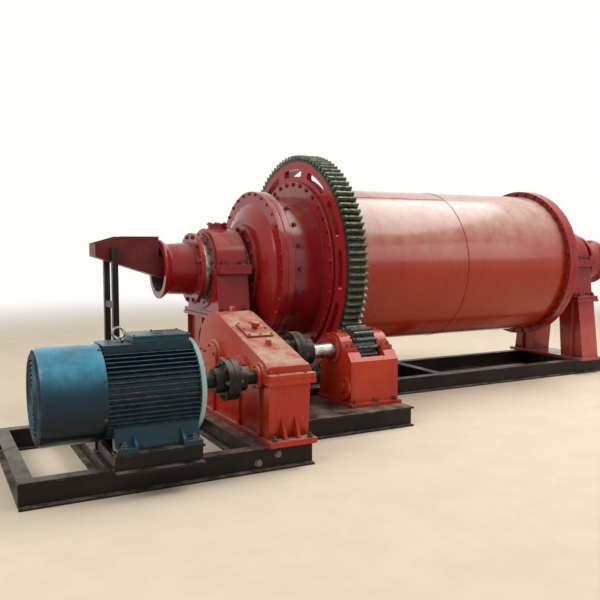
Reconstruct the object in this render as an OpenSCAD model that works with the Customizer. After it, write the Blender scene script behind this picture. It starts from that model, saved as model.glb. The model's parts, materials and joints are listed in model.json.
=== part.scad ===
// Wet grinding ball mill on a steel base: drum on two trunnion bearings, girth gear,
// pinion stand, reducer and electric motor. +X runs along the drum axis from the feed
// end to the discharge end, the drive stands on the -Y side, and the origin is on the
// floor under the middle of the drum.

/* [Drum] */
// Outside diameter of the drum shell
drum_d = 1500; // [1450:1:1550]
// Length of the drum shell from the gear web to its discharge flange
drum_len = 2940; // [2800:10:3000]
// Thickness of the shell with its liners
shell_wall = 40; // [30:1:60]
// Height of the drum axis above the floor
axis_z = 1264; // [1255:1:1275]
// Diameter of the shell's discharge flange
rear_flange_d = 1618; // [1600:2:1640]
// Thickness of each drum flange
flange_t = 60; // [40:1:70]

/* [Feed end] */
// Outside diameter of the short barrel between gear and feed cover
barrel_d = 1330; // [1300:2:1360]
// Length of that barrel
barrel_len = 395; // [360:5:420]
// Diameter of the feed cover flange
feed_flange_d = 1410; // [1380:2:1430]
// Depth of the dished part of the feed cover
feed_dish = 80; // [60:1:100]
// Depth of the conical part of the discharge cover
discharge_cone = 220; // [180:5:240]
// Wall of the two end covers
cover_wall = 55; // [40:1:70]

/* [Trunnions and bearings] */
// Diameter of the trunnion journals
journal_d = 540; // [520:2:560]
// Bore through the trunnions
trunnion_bore = 380; // [360:2:400]
// Diameter of the trunnion's bolting flange
trunnion_flange_d = 800; // [760:5:820]
// Length of a main bearing along the drum axis
bearing_len = 320; // [280:5:340]
// Outside diameter of a main bearing housing
bearing_d = 720; // [700:5:740]
// Height of the bearing housing from its foot to the drum axis
bearing_foot_h = 414; // [400:2:430]
// Gap between an end cover's trunnion flange and the bearing
bearing_gap = 40; // [30:1:60]
// Radial oil gap between journal and bearing
oil_gap = 0.3; // [0.2:0.1:0.5]

/* [Girth gear and pinion] */
// Tooth module
gear_m = 20; // [20:0.1:20.5]
// Teeth of the girth gear
gear_teeth = 104; // [104:1:106]
// Teeth of the pinion
pinion_teeth = 17; // [17:1:18]
// Face width of the girth gear
gear_w = 185; // [170:1:190]
// Thickness of the gear web
web_t = 50; // [40:1:60]
// Radial thickness of the toothed rim under the teeth
rim_t = 62; // [50:1:70]
// Tilt of the joint between the two gear halves
gear_split_tilt = 15; // [0:1:25]
// Backlash between the teeth, along the pitch circle
backlash = 3; // [2:0.5:4]
// Height of the pinion axis above the floor
pinion_z = 600; // [590:1:610]
// Diameter of the pinion shaft
pinion_shaft_d = 130; // [120:1:140]

/* [Base frame] */
// Height of the rolled beams
beam_h = 160; // [150:1:180]
// Flange width of the rolled beams
beam_w = 90; // [80:1:100]
// Half distance between the two main rails
rail_y = 430; // [420:1:450]
// Width of a main pedestal at its foot
pedestal_w = 1120; // [1080:5:1140]

/* [Drive] */
// Distance from the output shaft to the input shaft of the reducer
reducer_centres = 842; // [800:1:850]
// Width of the reducer case along the drum axis
reducer_w = 300; // [280:2:320]
// Place of the reducer's mid plane along the drum axis
reducer_x = -2550; // [-2570:1:-2540]
// Radius of the case over the large wheel
reducer_r = 362; // [340:1:370]
// Radius of the motor frame over its ribs
motor_r = 288; // [270:1:295]
// Height of the motor's ribs above the plane of its feet
motor_lift = 27; // [22:1:40]
// Length of the ribbed motor frame
motor_len = 560; // [520:5:580]
// Length of the fan cowl
cowl_len = 375; // [350:5:380]
// Number of ribs round the motor frame
motor_ribs = 56; // [40:4:64]

/* [Feed chute] */
// Length of the feed chute outside the spout
chute_len = 560; // [500:10:600]
// Inside width of the chute
chute_w = 220; // [180:5:240]

/* [Hidden] */
$fn = 96;
machine_red = [0.66, 0.13, 0.11];
pinion_red = [0.80, 0.22, 0.12];
gear_grey = [0.25, 0.27, 0.25];
beam_black = [0.07, 0.07, 0.08];
motor_blue = [0.12, 0.35, 0.50];
steel = [0.55, 0.56, 0.58];
over = 1; // how far a cutter runs past the face it opens, and the play of the motor shaft

// drum
drum_r = drum_d / 2;
drum_in = drum_r - shell_wall;
shell_x0 = -1500;
shell_x1 = shell_x0 + drum_len;
rear_r = rear_flange_d / 2;
rear_x1 = shell_x1 + flange_t;
seat_t = 30;
seat_r = drum_r + 100;
barrel_r = barrel_d / 2;
barrel_foot_r = drum_r + 60;
barrel_x1 = shell_x0 - seat_t;
barrel_x0 = shell_x0 - barrel_len;
feed_flange_r = feed_flange_d / 2;
feed_cover_x = barrel_x0 - flange_t;
dish_x = feed_cover_x - feed_dish;

// trunnions, their bearings and spouts
tr_flange_t = 40;
tr_flange_r = trunnion_flange_d / 2;
journal_r = journal_d / 2;
bore_r = trunnion_bore / 2;
feed_journal_x = dish_x - tr_flange_t;
feed_bearing_x1 = feed_journal_x - bearing_gap;
feed_bearing_x0 = feed_bearing_x1 - bearing_len;
trunnion_over = 66;
feed_end_x = feed_bearing_x0 - trunnion_over;
cone_x = rear_x1 + discharge_cone;
dis_journal_x = cone_x + tr_flange_t;
dis_bearing_x0 = dis_journal_x + 3.5 * bearing_gap;
dis_bearing_x1 = dis_bearing_x0 + bearing_len;
dis_end_x = dis_bearing_x1 + trunnion_over;
spout_flange_t = 40;
spout_flange_r = journal_r + 50;
spout_r = bore_r + 45;
spout_len = 300;
bearing_r = bearing_d / 2;
foot_z = axis_z - bearing_foot_h;
foot_t = 36;
split_t = 40;
foot_half = bearing_r + 110;
split_half = bearing_r + 85;
lid_h = 46;

// girth gear and pinion
gear_r = gear_m * gear_teeth / 2;
pinion_r = gear_m * pinion_teeth / 2;
gear_root = gear_r - 1.25 * gear_m;
gear_tip = gear_r + gear_m;
gear_x0 = shell_x0;
gear_x1 = gear_x0 + gear_w;
mesh_dist = gear_r + pinion_r;
pinion_dz = axis_z - pinion_z;
pinion_y = -sqrt(mesh_dist * mesh_dist - pinion_dz * pinion_dz);
mesh_angle = atan2(-pinion_dz, pinion_y);
pinion_over = 8;
pinion_x0 = gear_x0 - pinion_over;
pinion_x1 = gear_x1 + pinion_over;
shaft_r = pinion_shaft_d / 2;

// pinion stand
stand_gap = 16;
stand_wall = 112;
stand_x0 = pinion_x0 - stand_gap - stand_wall;
stand_x1 = pinion_x1 + stand_gap + stand_wall;
stand_front = pinion_y - pinion_r - 118;
stand_back = pinion_y + pinion_r + 70;
stand_over = 14;
stand_plate = 30;
stand_front_wall = 40;
stand_shoulder = 70;
pinion_cap_r = shaft_r + 77;
pinion_cover_t = 14;

// reducer
drive_y = pinion_y - reducer_centres;
drive_z = pinion_z;
reducer_x0 = reducer_x - reducer_w / 2;
reducer_x1 = reducer_x + reducer_w / 2;
reducer_flange = 34;
reducer_foot_t = 36;
side_lip = 22;
front_lip = 44;
back_lip = 36;
small_r = 118;
slope = asin((reducer_r - small_r) / reducer_centres);
idler_step = 340;
idler_y = drive_y + idler_step;
output_r = 60;
input_r = 45;
shaft_play = 2;
reducer_front = drive_y - 150;
reducer_back = pinion_y + reducer_r + 20;
output_cover_r = 128;
input_cover_r = 82;
idler_cover_r = 90;
cover_t = 24;

// motor
shaft_room = 465; // from the motor's nose to the reducer, for the coupling
motor_x1 = reducer_x0 - shaft_room;
shield_t = 52;
frame_x1 = motor_x1 - shield_t;
frame_x0 = frame_x1 - motor_len;
cowl_x0 = frame_x0 - cowl_len;
motor_root = motor_r - 30;
motor_foot_z = drive_z - motor_r - motor_lift;
motor_foot_half = motor_r + 22;
motor_web_half = motor_r - 40;
motor_pad_z = drive_z + motor_r + 6;

// base frame
beam_web = 10;
beam_lip = 14;
lip = beam_w / 2;
rail_over = 110;
drive_x0 = cowl_x0 - rail_over;
drive_x1 = reducer_x1 + side_lip + 2;
front_rail_y = reducer_front + 20;
back_rail_y = reducer_back - 82;
skid_gap = 216;
skid_step = 210;
skid_x0 = drive_x1 + skid_gap;
skid_x1 = stand_x1 + stand_over + 2;
skid_front = stand_front - skid_step;

// feed chute
chute_t = 8;
chute_half = chute_w / 2;
chute_in_spout = 60;
chute_x1 = feed_end_x - spout_flange_t - spout_len + chute_in_spout;
chute_x0 = chute_x1 - chute_in_spout - chute_len;
chute_drop = 90;
chute_low = axis_z - chute_drop;
chute_rise = 205;
rim_h = 285;
chute_rim = axis_z + rim_h;
chute_leg_step = 150;
chute_leg_x = chute_x0 + chute_leg_step;

// solid cylinder along X between two places
module rod_x(r, x0, x1, y = 0, z = axis_z) {
    translate([x0, y, z]) rotate([0, 90, 0]) cylinder(h = x1 - x0, r = r);
}

// ring along X
module ring_x(ro, ri, x0, x1, y = 0, z = axis_z) {
    difference() {
        rod_x(ro, x0, x1, y, z);
        rod_x(ri, x0 - over, x1 + over, y, z);
    }
}

// body of revolution about an X axis, from points [radius, x]
module turned_x(pts, y = 0, z = axis_z) {
    translate([0, y, z]) rotate([0, 90, 0]) rotate_extrude($fn = 128) polygon(pts);
}

// extrusion along X of a profile drawn as [y, z]
module slab_x(x0, x1) {
    translate([x0, 0, 0]) rotate([90, 0, 90]) linear_extrude(height = x1 - x0) children();
}

// box from its two corners
module block(a, b) {
    translate(a) cube([b[0] - a[0], b[1] - a[1], b[2] - a[2]]);
}

// profile of a rolled I-beam, web centred on 0
module beam_profile() {
    web = beam_web / 2;
    under = beam_h - beam_lip;
    polygon([[-lip, 0], [lip, 0], [lip, beam_lip], [web, beam_lip], [web, under], [lip, under],
        [lip, beam_h], [-lip, beam_h], [-lip, under], [-web, under], [-web, beam_lip],
        [-lip, beam_lip]]);
}

// I-beam lying along X at lateral place y
module beam_x(x0, x1, y) {
    slab_x(x0, x1) translate([y, 0]) beam_profile();
}

// I-beam lying along Y at place x
module beam_y(y0, y1, x) {
    translate([x, y1, 0]) rotate([90, 0, 0]) linear_extrude(height = y1 - y0) beam_profile();
}

// flank angle of an involute at radius r, from the base circle
function inv_angle(rb, r) = let (t = sqrt(max(0, r * r / (rb * rb) - 1))) t * 180 / PI - atan(t);

// half the tooth angle at radius r for a gear with n teeth
function half_tooth(n, rp, rb, r, play) =
    90 / n - play / (2 * rp) * 90 / PI + inv_angle(rb, rp) - inv_angle(rb, r);

// outline of a spur gear: a root point, one flank up, the tip, the other flank down
function gear_points(n, m, play, steps) =
    let (rp = n * m / 2, rb = rp * cos(20), rr = rp - 1.25 * m, rt = rp + m, rs = max(rr, rb),
        lift = 0.01)
    [for (i = [0:n - 1]) let (c = i * 360 / n) each concat(
        [let (a = c - half_tooth(n, rp, rb, rs, play)) rr * [cos(a), sin(a)]],
        [for (k = [0:steps]) let (r = rs + (rt - rs) * k / steps,
            a = c - half_tooth(n, rp, rb, r, play)) (r + lift) * [cos(a), sin(a)]],
        [for (k = [steps:-1:0]) let (r = rs + (rt - rs) * k / steps,
            a = c + half_tooth(n, rp, rb, r, play)) (r + lift) * [cos(a), sin(a)]],
        [let (a = c + half_tooth(n, rp, rb, rs, play)) rr * [cos(a), sin(a)]])];

module main_rail(y) {
    over_leg = 100;
    over_bearing = 130;
    color(beam_black) beam_x(chute_leg_x - over_leg, dis_bearing_x1 + over_bearing, y);
}

module cross_beams() {
    inner = rail_y - lip;
    half_pair = 110;
    color(beam_black) {
        for (x = [(feed_bearing_x0 + feed_bearing_x1) / 2, (dis_bearing_x0 + dis_bearing_x1) / 2])
            for (s = [-1, 1]) beam_y(-inner, inner, x + s * half_pair);
        for (x = [0, chute_leg_x]) beam_y(-inner, inner, x);
    }
}

// welded pedestal under a main bearing, from the rails up to the bearing's foot
module pedestal(x0, x1) {
    plate = 30;
    foot_over = 20;
    top_over = 8;
    inset = 34;
    low_half = pedestal_w / 2;
    top_half = foot_half + top_over;
    floor_z = beam_h + plate;
    roof_z = foot_z - plate;
    arch_foot = 210;
    arch_side = 170;
    arch_roof = 110;
    arch_turn = 190;
    arch_turn_z = foot_z - arch_turn;
    arch_top = 130;
    arch_top_z = foot_z - arch_top;
    rib_y = 380;
    color(machine_red) {
        block([x0 - foot_over, -low_half, beam_h], [x1 + foot_over, low_half, floor_z]);
        block([x0 - top_over, -top_half, roof_z], [x1 + top_over, top_half, foot_z]);
        difference() {
            slab_x(x0 + inset, x1 - inset)
                polygon([[-low_half + inset, floor_z], [low_half - inset, floor_z],
                    [top_half - inset, roof_z], [-top_half + inset, roof_z]]);
            slab_x(x0 + inset - over, x1 - inset + over)
                polygon([[-arch_foot, floor_z - over], [arch_foot, floor_z - over],
                    [arch_side, arch_turn_z], [arch_roof, arch_top_z],
                    [-arch_roof, arch_top_z], [-arch_side, arch_turn_z]]);
        }
        for (x = [x0, x1 - inset]) slab_x(x, x + inset) {
            for (y = [-rib_y, rib_y]) pedestal_rib(y, floor_z, roof_z);
            pedestal_rib(0, arch_top_z, roof_z);
        }
    }
}

// profile of an upright rib at lateral place y, between two heights
module pedestal_rib(y, z0, z1) {
    rib_t = 20;
    translate([y - rib_t / 2, z0]) square([rib_t, z1 - z0]);
}

module bearing_base(x0, x1) {
    step = 12;
    flare_half = bearing_r + 40;
    foot_top = foot_z + foot_t;
    color(machine_red) difference() {
        union() {
            block([x0, -foot_half, foot_z], [x1, foot_half, foot_top]);
            block([x0 + step, -split_half, axis_z - split_t], [x1 - step, split_half, axis_z]);
            slab_x(x0 + step, x1 - step)
                polygon([[-flare_half, foot_top], [flare_half, foot_top],
                    [bearing_r, axis_z - split_t], [-bearing_r, axis_z - split_t]]);
            intersection() {
                rod_x(bearing_r, x0, x1);
                block([x0, -bearing_r, foot_top], [x1, bearing_r, axis_z]);
            }
        }
        rod_x(journal_r + oil_gap, x0 - over, x1 + over);
    }
}

// domed cap with a stepped end and the round oil lid on top
module bearing_cap(x0, x1) {
    mid = (x0 + x1) / 2;
    flange_step = 12;
    end_step = 26;
    lid_top = axis_z + bearing_r + lid_h;
    lid_t = 14;
    lid_r = 98;
    neck_r = 84;
    neck_h = 56;
    color(machine_red) difference() {
        union() {
            block([x0 + flange_step, -split_half, axis_z],
                [x1 - flange_step, split_half, axis_z + split_t]);
            intersection() {
                union() {
                    rod_x(bearing_r, x0 + end_step, x1 - end_step);
                    rod_x(bearing_r - end_step, x0, x1);
                }
                block([x0, -bearing_r, axis_z], [x1, bearing_r, axis_z + bearing_r]);
            }
            translate([mid, 0, lid_top - lid_t - neck_h]) cylinder(h = neck_h, r = neck_r);
            translate([mid, 0, lid_top - lid_t]) cylinder(h = lid_t, r = lid_r);
        }
        rod_x(journal_r + oil_gap, x0 - over, x1 + over);
    }
}

module drive_rail(y) {
    color(beam_black) beam_x(drive_x0, drive_x1, y);
}

// beams between the two drive rails, and the one that ties them to the mill's rails
module drive_cross_beams() {
    in_foot = 60;
    color(beam_black) {
        for (x = [drive_x0 + lip, frame_x0 + in_foot, frame_x1 - in_foot, reducer_x0 - in_foot])
            beam_y(front_rail_y + lip, back_rail_y - lip, x);
        beam_y(back_rail_y + lip, -rail_y - lip, drive_x1 - lip);
    }
}

// platform of the pinion stand: a plate on two beams and a front beam
module pinion_skid() {
    plate_over = 20;
    color(beam_black) {
        beam_x(skid_x0, skid_x1, skid_front + lip);
        for (x = [skid_x0 + lip, skid_x1 - lip]) beam_y(skid_front + beam_w, -rail_y - lip, x);
        block([skid_x0 + beam_w, skid_front + beam_w, beam_h - beam_lip],
            [skid_x1 - beam_w, stand_back + plate_over, beam_h]);
    }
}

// two welded bearers under the motor's feet, tied by cross plates
module motor_plinth() {
    bearer_y = motor_r - 34;
    half = 55;
    web = 12;
    plate = 16;
    tie_half = 20;
    tie_drop = 40;
    in_foot = 60;
    low = beam_h + plate;
    high = motor_foot_z - plate;
    color(beam_black) {
        for (s = [-1, 1]) translate([0, drive_y + s * bearer_y, 0])
            slab_x(frame_x0 + 30, frame_x1 + 10)
                polygon([[-half, beam_h], [half, beam_h], [half, low], [web, low], [web, high],
                    [half, high], [half, motor_foot_z], [-half, motor_foot_z], [-half, high],
                    [-web, high], [-web, low], [-half, low]]);
        for (x = [frame_x0 + in_foot, frame_x1 - in_foot])
            block([x - tie_half, drive_y - bearer_y + web, beam_h],
                [x + tie_half, drive_y + bearer_y - web, motor_foot_z - tie_drop]);
    }
}

// ribbed cast frame with its feet and the flat pad on top
module motor_frame() {
    pitch = 360 / motor_ribs;
    foot_wide = 0.16 * pitch;
    tip_wide = 0.1 * pitch;
    pad_half = 130;
    pad_end = 12;
    color(motor_blue) {
        slab_x(frame_x0, frame_x1) translate([drive_y, drive_z])
            polygon([for (i = [0:motor_ribs - 1]) let (a = i * pitch) each [
                motor_root * [cos(a - pitch / 2), sin(a - pitch / 2)],
                motor_root * [cos(a - foot_wide), sin(a - foot_wide)],
                motor_r * [cos(a - tip_wide), sin(a - tip_wide)],
                motor_r * [cos(a + tip_wide), sin(a + tip_wide)],
                motor_root * [cos(a + foot_wide), sin(a + foot_wide)]]]);
        block([frame_x0 + pad_end, drive_y - pad_half, drive_z + motor_root - 60],
            [frame_x1 - pad_end, drive_y + pad_half, motor_pad_z]);
        for (s = [-1, 1]) motor_foot(s);
    }
}

// one long foot: a web down from the frame, a bolting pad and a gusset near each end
module motor_foot(s) {
    x0 = frame_x0 + 40;
    x1 = frame_x1 - 4;
    pad_len = 120;
    pad_t = 30;
    gusset_t = 16;
    top = motor_foot_z + 170;
    web = motor_web_half;
    thick = 58;
    translate([0, drive_y, 0]) {
        slab_x(x0, x1) polygon([[s * (web - thick), motor_foot_z], [s * web, motor_foot_z],
            [s * web, motor_foot_z + pad_t], [s * (motor_root - 53), top],
            [s * (motor_root - 128), top]]);
        for (x = [x0, x1 - pad_len]) slab_x(x, x + pad_len)
            polygon([[s * (web - over), motor_foot_z], [s * motor_foot_half, motor_foot_z],
                [s * motor_foot_half, motor_foot_z + pad_t],
                [s * (web - over), motor_foot_z + pad_t]]);
        for (x = [x0 + pad_len - gusset_t, x1 - pad_len]) slab_x(x, x + gusset_t)
            polygon([[s * (web - over), motor_foot_z + pad_t - over],
                [s * (motor_foot_half - 8), motor_foot_z + pad_t - over],
                [s * (motor_foot_half - 8), motor_foot_z + pad_t + 12],
                [s * (web - 24), motor_foot_z + 106]]);
    }
}

// pressed cowl with an air grille of round slots in its flat end
module motor_fan_cowl() {
    wall = 5;
    r = motor_r + 4;
    face_r = r - 40;
    slots = 6;
    slot_w = 12;
    slot_r0 = 70;
    slot_step = (face_r - slot_w - slot_r0) / slots;
    bar_half = 7;
    bar_t = 4;
    seat_in = motor_r - 90;
    color(motor_blue) difference() {
        turned_x([[0, cowl_x0], [face_r, cowl_x0], [r - 12, cowl_x0 + 12], [r, cowl_x0 + 40],
            [r, frame_x0], [r - wall, frame_x0], [r - wall, cowl_x0 + 42],
            [r - 16, cowl_x0 + 17], [face_r - 2, cowl_x0 + wall], [0, cowl_x0 + wall]],
            drive_y, drive_z);
        for (k = [0:slots - 1]) let (ri = slot_r0 + k * slot_step)
            ring_x(ri + slot_w, ri, cowl_x0 - over, cowl_x0 + wall + over, drive_y, drive_z);
    }
    color(motor_blue) {
        for (a = [0:45:135]) translate([cowl_x0 + wall, drive_y, drive_z]) rotate([a, 0, 0])
            block([0, -face_r + 6, -bar_half], [bar_t, face_r - 6, bar_half]);
        ring_x(r - wall + 2, seat_in, frame_x0 - 12, frame_x0, drive_y, drive_z);
    }
}

// front cover of the motor, stepped down to a nose round its shaft
module motor_end_shield() {
    rim_r = motor_r + 8;
    rim_t = 26;
    nose_r = motor_r - 118;
    nose_t = 14;
    bore = input_r + over;
    color(motor_blue) turned_x([[bore, frame_x1], [rim_r, frame_x1], [rim_r, frame_x1 + rim_t],
        [rim_r - 30, frame_x1 + rim_t + nose_t], [nose_r, motor_x1],
        [nose_r - 20, motor_x1 + nose_t], [bore, motor_x1 + nose_t]], drive_y, drive_z);
}

module motor_terminal_box() {
    box_h = 34;
    lid_t = 12;
    lid_over = 8;
    half = 120;
    eye_room = 190;
    x0 = frame_x0 + eye_room;
    x1 = frame_x1 - 20;
    color(motor_blue) {
        block([x0, drive_y - half, motor_pad_z], [x1, drive_y + half, motor_pad_z + box_h]);
        block([x0 - lid_over, drive_y - half - lid_over, motor_pad_z + box_h],
            [x1 + lid_over, drive_y + half + lid_over, motor_pad_z + box_h + lid_t]);
    }
}

module motor_lifting_eye() {
    ring = 34;
    wire = 9;
    collar_t = 14;
    shank = 16;
    color(steel) translate([frame_x0 + 130, drive_y, motor_pad_z]) {
        cylinder(h = collar_t, r = 30);
        translate([0, 0, collar_t]) cylinder(h = shank, r = 14);
        translate([0, 0, collar_t + ring + 8]) rotate([90, 0, 0])
            rotate_extrude() translate([ring, 0]) circle(r = wire, $fn = 24);
    }
}

// bores for the output and input shafts
module reducer_bores() {
    x0 = reducer_x0 - side_lip - over;
    x1 = reducer_x1 + side_lip + over;
    rod_x(output_r + shaft_play, x0, x1, pinion_y, drive_z);
    rod_x(input_r + over, x0, x1, drive_y, drive_z);
}

// lower half of the case, with its foot flange, split flange and ribs
module reducer_lower_case() {
    foot_front = 60;
    foot_back = 50;
    taper_front = 30;
    taper_back = 40;
    rib_half = 14;
    rib_out = 20;
    rib_top = drive_z - 60;
    gusset_t = 20;
    low = beam_h + reducer_foot_t;
    under = drive_z - reducer_flange;
    color(machine_red) difference() {
        union() {
            slab_x(reducer_x0, reducer_x1)
                polygon([[reducer_front + taper_front, low], [reducer_back - taper_back, low],
                    [reducer_back, under], [reducer_front, under]]);
            slab_x(reducer_x0 - side_lip, reducer_x1 + side_lip)
                polygon([[reducer_front - foot_front, beam_h], [reducer_back + foot_back, beam_h],
                    [reducer_back + foot_back, low], [reducer_front - foot_front, low]]);
            slab_x(reducer_x0 - side_lip, reducer_x1 + side_lip)
                polygon([[reducer_front - front_lip, under], [reducer_back + back_lip, under],
                    [reducer_back + back_lip, drive_z], [reducer_front - front_lip, drive_z]]);
            for (x = [reducer_x0 - rib_out, reducer_x1]) for (y = [drive_y, idler_y, pinion_y])
                block([x, y - rib_half, low], [x + rib_out, y + rib_half, rib_top]);
            for (x = [reducer_x - 60, reducer_x + 40])
                slab_x(x, x + gusset_t) polygon([[reducer_front - 40, low],
                    [reducer_front + taper_front + 4, low],
                    [reducer_front + 20, beam_h + 190]]);
        }
        reducer_bores();
    }
}

// the cover rises over the large wheel and falls in one straight slope to the input end
module reducer_upper_case() {
    steps = 10;
    nose_steps = 4;
    nose_a = 150;
    nose_sweep = 60;
    back_a = 12;
    top_flange = drive_z + reducer_flange;
    boss_x = 42;
    ear_half = [12, 30];
    color(machine_red) difference() {
        union() {
            slab_x(reducer_x0, reducer_x1) polygon(concat(
                [[reducer_back, top_flange], [reducer_front, top_flange],
                    [reducer_front, drive_z + small_r * 0.72]],
                [for (k = [0:nose_steps]) let (a = nose_a - (nose_sweep - slope) * k / nose_steps)
                    [drive_y + small_r * cos(a), drive_z + small_r * sin(a)]],
                [for (k = [0:steps]) let (a = 90 + slope - (90 - back_a + slope) * k / steps)
                    [pinion_y + reducer_r * cos(a), drive_z + reducer_r * sin(a)]]));
            slab_x(reducer_x0 - side_lip, reducer_x1 + side_lip)
                polygon([[reducer_front - front_lip, drive_z], [reducer_back + back_lip, drive_z],
                    [reducer_back + back_lip, top_flange], [reducer_front - front_lip, top_flange]]);
            for (x = [reducer_x0 - side_lip, reducer_x1 + side_lip - boss_x])
                for (b = [[drive_y, 96], [idler_y, 96], [pinion_y, 150]]) intersection() {
                    rod_x(b[1], x, x + boss_x, b[0], drive_z);
                    block([x, b[0] - b[1], drive_z], [x + boss_x, b[0] + b[1], drive_z + b[1]]);
                }
            for (e = [[drive_y + 190, small_r - 10, small_r + 100],
                [pinion_y, reducer_r - 10, reducer_r + 40]])
                block([reducer_x - ear_half[0], e[0] - ear_half[1], drive_z + e[1]],
                    [reducer_x + ear_half[0], e[0] + ear_half[1], drive_z + e[2]]);
        }
        reducer_bores();
    }
}

// round bearing covers on both sides of the reducer, open only where a shaft comes out
module reducer_bearing_covers() {
    motor_side = reducer_x0 - side_lip - cover_t;
    stand_side = reducer_x1 + side_lip;
    output_play = 3;
    input_play = 2;
    color(machine_red) {
        rod_x(output_cover_r, motor_side, motor_side + cover_t, pinion_y, drive_z);
        ring_x(output_cover_r, output_r + output_play, stand_side, stand_side + cover_t, pinion_y,
            drive_z);
        ring_x(input_cover_r, input_r + input_play, motor_side, motor_side + cover_t, drive_y,
            drive_z);
        rod_x(input_cover_r, stand_side, stand_side + cover_t, drive_y, drive_z);
        for (x = [motor_side, stand_side])
            rod_x(idler_cover_r, x, x + cover_t, idler_y, drive_z);
    }
}

// lid on the slope, with its breather
module reducer_inspection_cover() {
    mid = 430;
    half = [reducer_w / 3, 0.4 * reducer_w];
    lid_t = 18;
    neck = [24, 26];
    knob = [34, 30];
    color(machine_red)
        translate([reducer_x, drive_y + mid, drive_z + small_r / cos(slope) + mid * tan(slope)])
            rotate([slope, 0, 0]) {
                translate([-half[0], -half[1], 0]) cube([2 * half[0], 2 * half[1], lid_t]);
                translate([0, 0, lid_t]) cylinder(h = neck[1], r = neck[0]);
                translate([0, 0, lid_t + neck[1]]) cylinder(h = knob[1], r = knob[0]);
            }
}

// cast stand: base plate, front wall and two end walls that carry the pinion bearings
module pinion_pedestal() {
    floor_z = beam_h + stand_plate;
    shoulder_z = pinion_z - stand_shoulder;
    brow_z = pinion_z - 40;
    wall_in = stand_front + stand_front_wall;
    toe = 40;
    heel = 16;
    slant = 60;
    hatch_y = stand_front + 100;
    hatch_z = beam_h + 150;
    hatch_r = 98;
    hatch_t = 22;
    knob_r = 40;
    knob_t = 18;
    color(pinion_red) difference() {
        union() {
            block([stand_x0 - stand_over, stand_front - toe, beam_h],
                [stand_x1 + stand_over, stand_back + heel, floor_z]);
            for (x = [stand_x0, stand_x1 - stand_wall]) slab_x(x, x + stand_wall)
                polygon([[stand_front, floor_z], [stand_front, shoulder_z],
                    [stand_front + slant, pinion_z], [stand_back - slant, pinion_z],
                    [stand_back, floor_z]]);
            slab_x(stand_x0 + stand_wall - over, stand_x1 - stand_wall + over)
                polygon([[stand_front, floor_z], [stand_front, shoulder_z],
                    [stand_front + 26, brow_z], [wall_in, brow_z], [wall_in, floor_z]]);
            rod_x(hatch_r, stand_x0 - hatch_t, stand_x0, hatch_y, hatch_z);
            rod_x(knob_r, stand_x0 - hatch_t - knob_t, stand_x0, hatch_y, hatch_z);
        }
        rod_x(shaft_r + oil_gap, stand_x0 - 60, stand_x1 + 60, pinion_y, pinion_z);
    }
}

// bearing cap of the pinion shaft, bolted on an end wall, with its oil cup
module pinion_cap(x0) {
    x1 = x0 + stand_wall;
    inset = 4;
    front = 205;
    back = 175;
    flange = 36;
    cup = [20, 30];
    color(pinion_red) difference() {
        union() {
            block([x0 + inset, pinion_y - front, pinion_z],
                [x1 - inset, pinion_y + back, pinion_z + flange]);
            intersection() {
                rod_x(pinion_cap_r, x0, x1, pinion_y, pinion_z);
                block([x0, pinion_y - pinion_cap_r, pinion_z],
                    [x1, pinion_y + pinion_cap_r, pinion_z + pinion_cap_r]);
            }
            translate([(x0 + x1) / 2, pinion_y, pinion_z + pinion_cap_r - 12])
                cylinder(h = cup[1], r = cup[0]);
        }
        rod_x(shaft_r + oil_gap, x0 - over, x1 + over, pinion_y, pinion_z);
    }
}

// ring plates that close the pinion bearings on the stand's two ends
module pinion_bearing_covers() {
    color(pinion_red) for (x = [stand_x0 - pinion_cover_t, stand_x1])
        ring_x(shaft_r + 53, shaft_r + 2, x, x + pinion_cover_t, pinion_y, pinion_z);
}

// open sheet trough with a level rim, whose floor slopes down into the feed spout
module feed_chute() {
    low = chute_low + chute_rise;
    tail_fall = 60;
    tail_top = chute_rim - tail_fall;
    tail_len = 210;
    mouth_h = 110;
    mouth_top = axis_z + mouth_h;
    mouth_gap = 20;
    step_x = chute_x1 - chute_in_spout - mouth_gap;
    color(machine_red) {
        for (y = [-chute_half, chute_half + chute_t]) translate([0, y, 0]) rotate([90, 0, 0])
            linear_extrude(height = chute_t) polygon([[chute_x0, low], [chute_x1, chute_low],
                [chute_x1, mouth_top], [step_x, mouth_top], [step_x, chute_rim],
                [chute_x0 + tail_len, chute_rim], [chute_x0, tail_top]]);
        translate([0, chute_half, 0]) rotate([90, 0, 0]) linear_extrude(height = chute_w)
            polygon([[chute_x0, low], [chute_x1, chute_low], [chute_x1, chute_low + chute_t],
                [chute_x0 + chute_t, low + chute_t], [chute_x0 + chute_t, tail_top],
                [chute_x0, tail_top]]);
    }
}

// two legs on a cross beam, tied below the chute, with clips that hold its sides
module chute_stand() {
    half = chute_half + chute_t;
    leg = 25;
    gap = 6;
    foot_plate = 12;
    clip = 20;
    clip_rise = 100;
    clip_z = axis_z + clip_rise;
    clip_h = 70;
    leg_top = clip_z + clip_h + clip;
    tie_drop = 320;
    tie_z = axis_z - tie_drop;
    tie_h = 50;
    color(beam_black) {
        for (s = [-1, 1]) {
            y = s * (half + gap + leg);
            block([chute_leg_x - leg, y - leg, beam_h + foot_plate],
                [chute_leg_x + leg, y + leg, leg_top]);
            block([chute_leg_x - lip, y - lip, beam_h], [chute_leg_x + lip, y + lip,
                beam_h + foot_plate]);
            block([chute_leg_x - clip, s > 0 ? half : -half - gap, clip_z],
                [chute_leg_x + clip, s > 0 ? half + gap : -half, clip_z + clip_h]);
        }
        block([chute_leg_x - clip, -half - gap, tie_z],
            [chute_leg_x + clip, half + gap, tie_z + tie_h]);
    }
}

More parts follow.
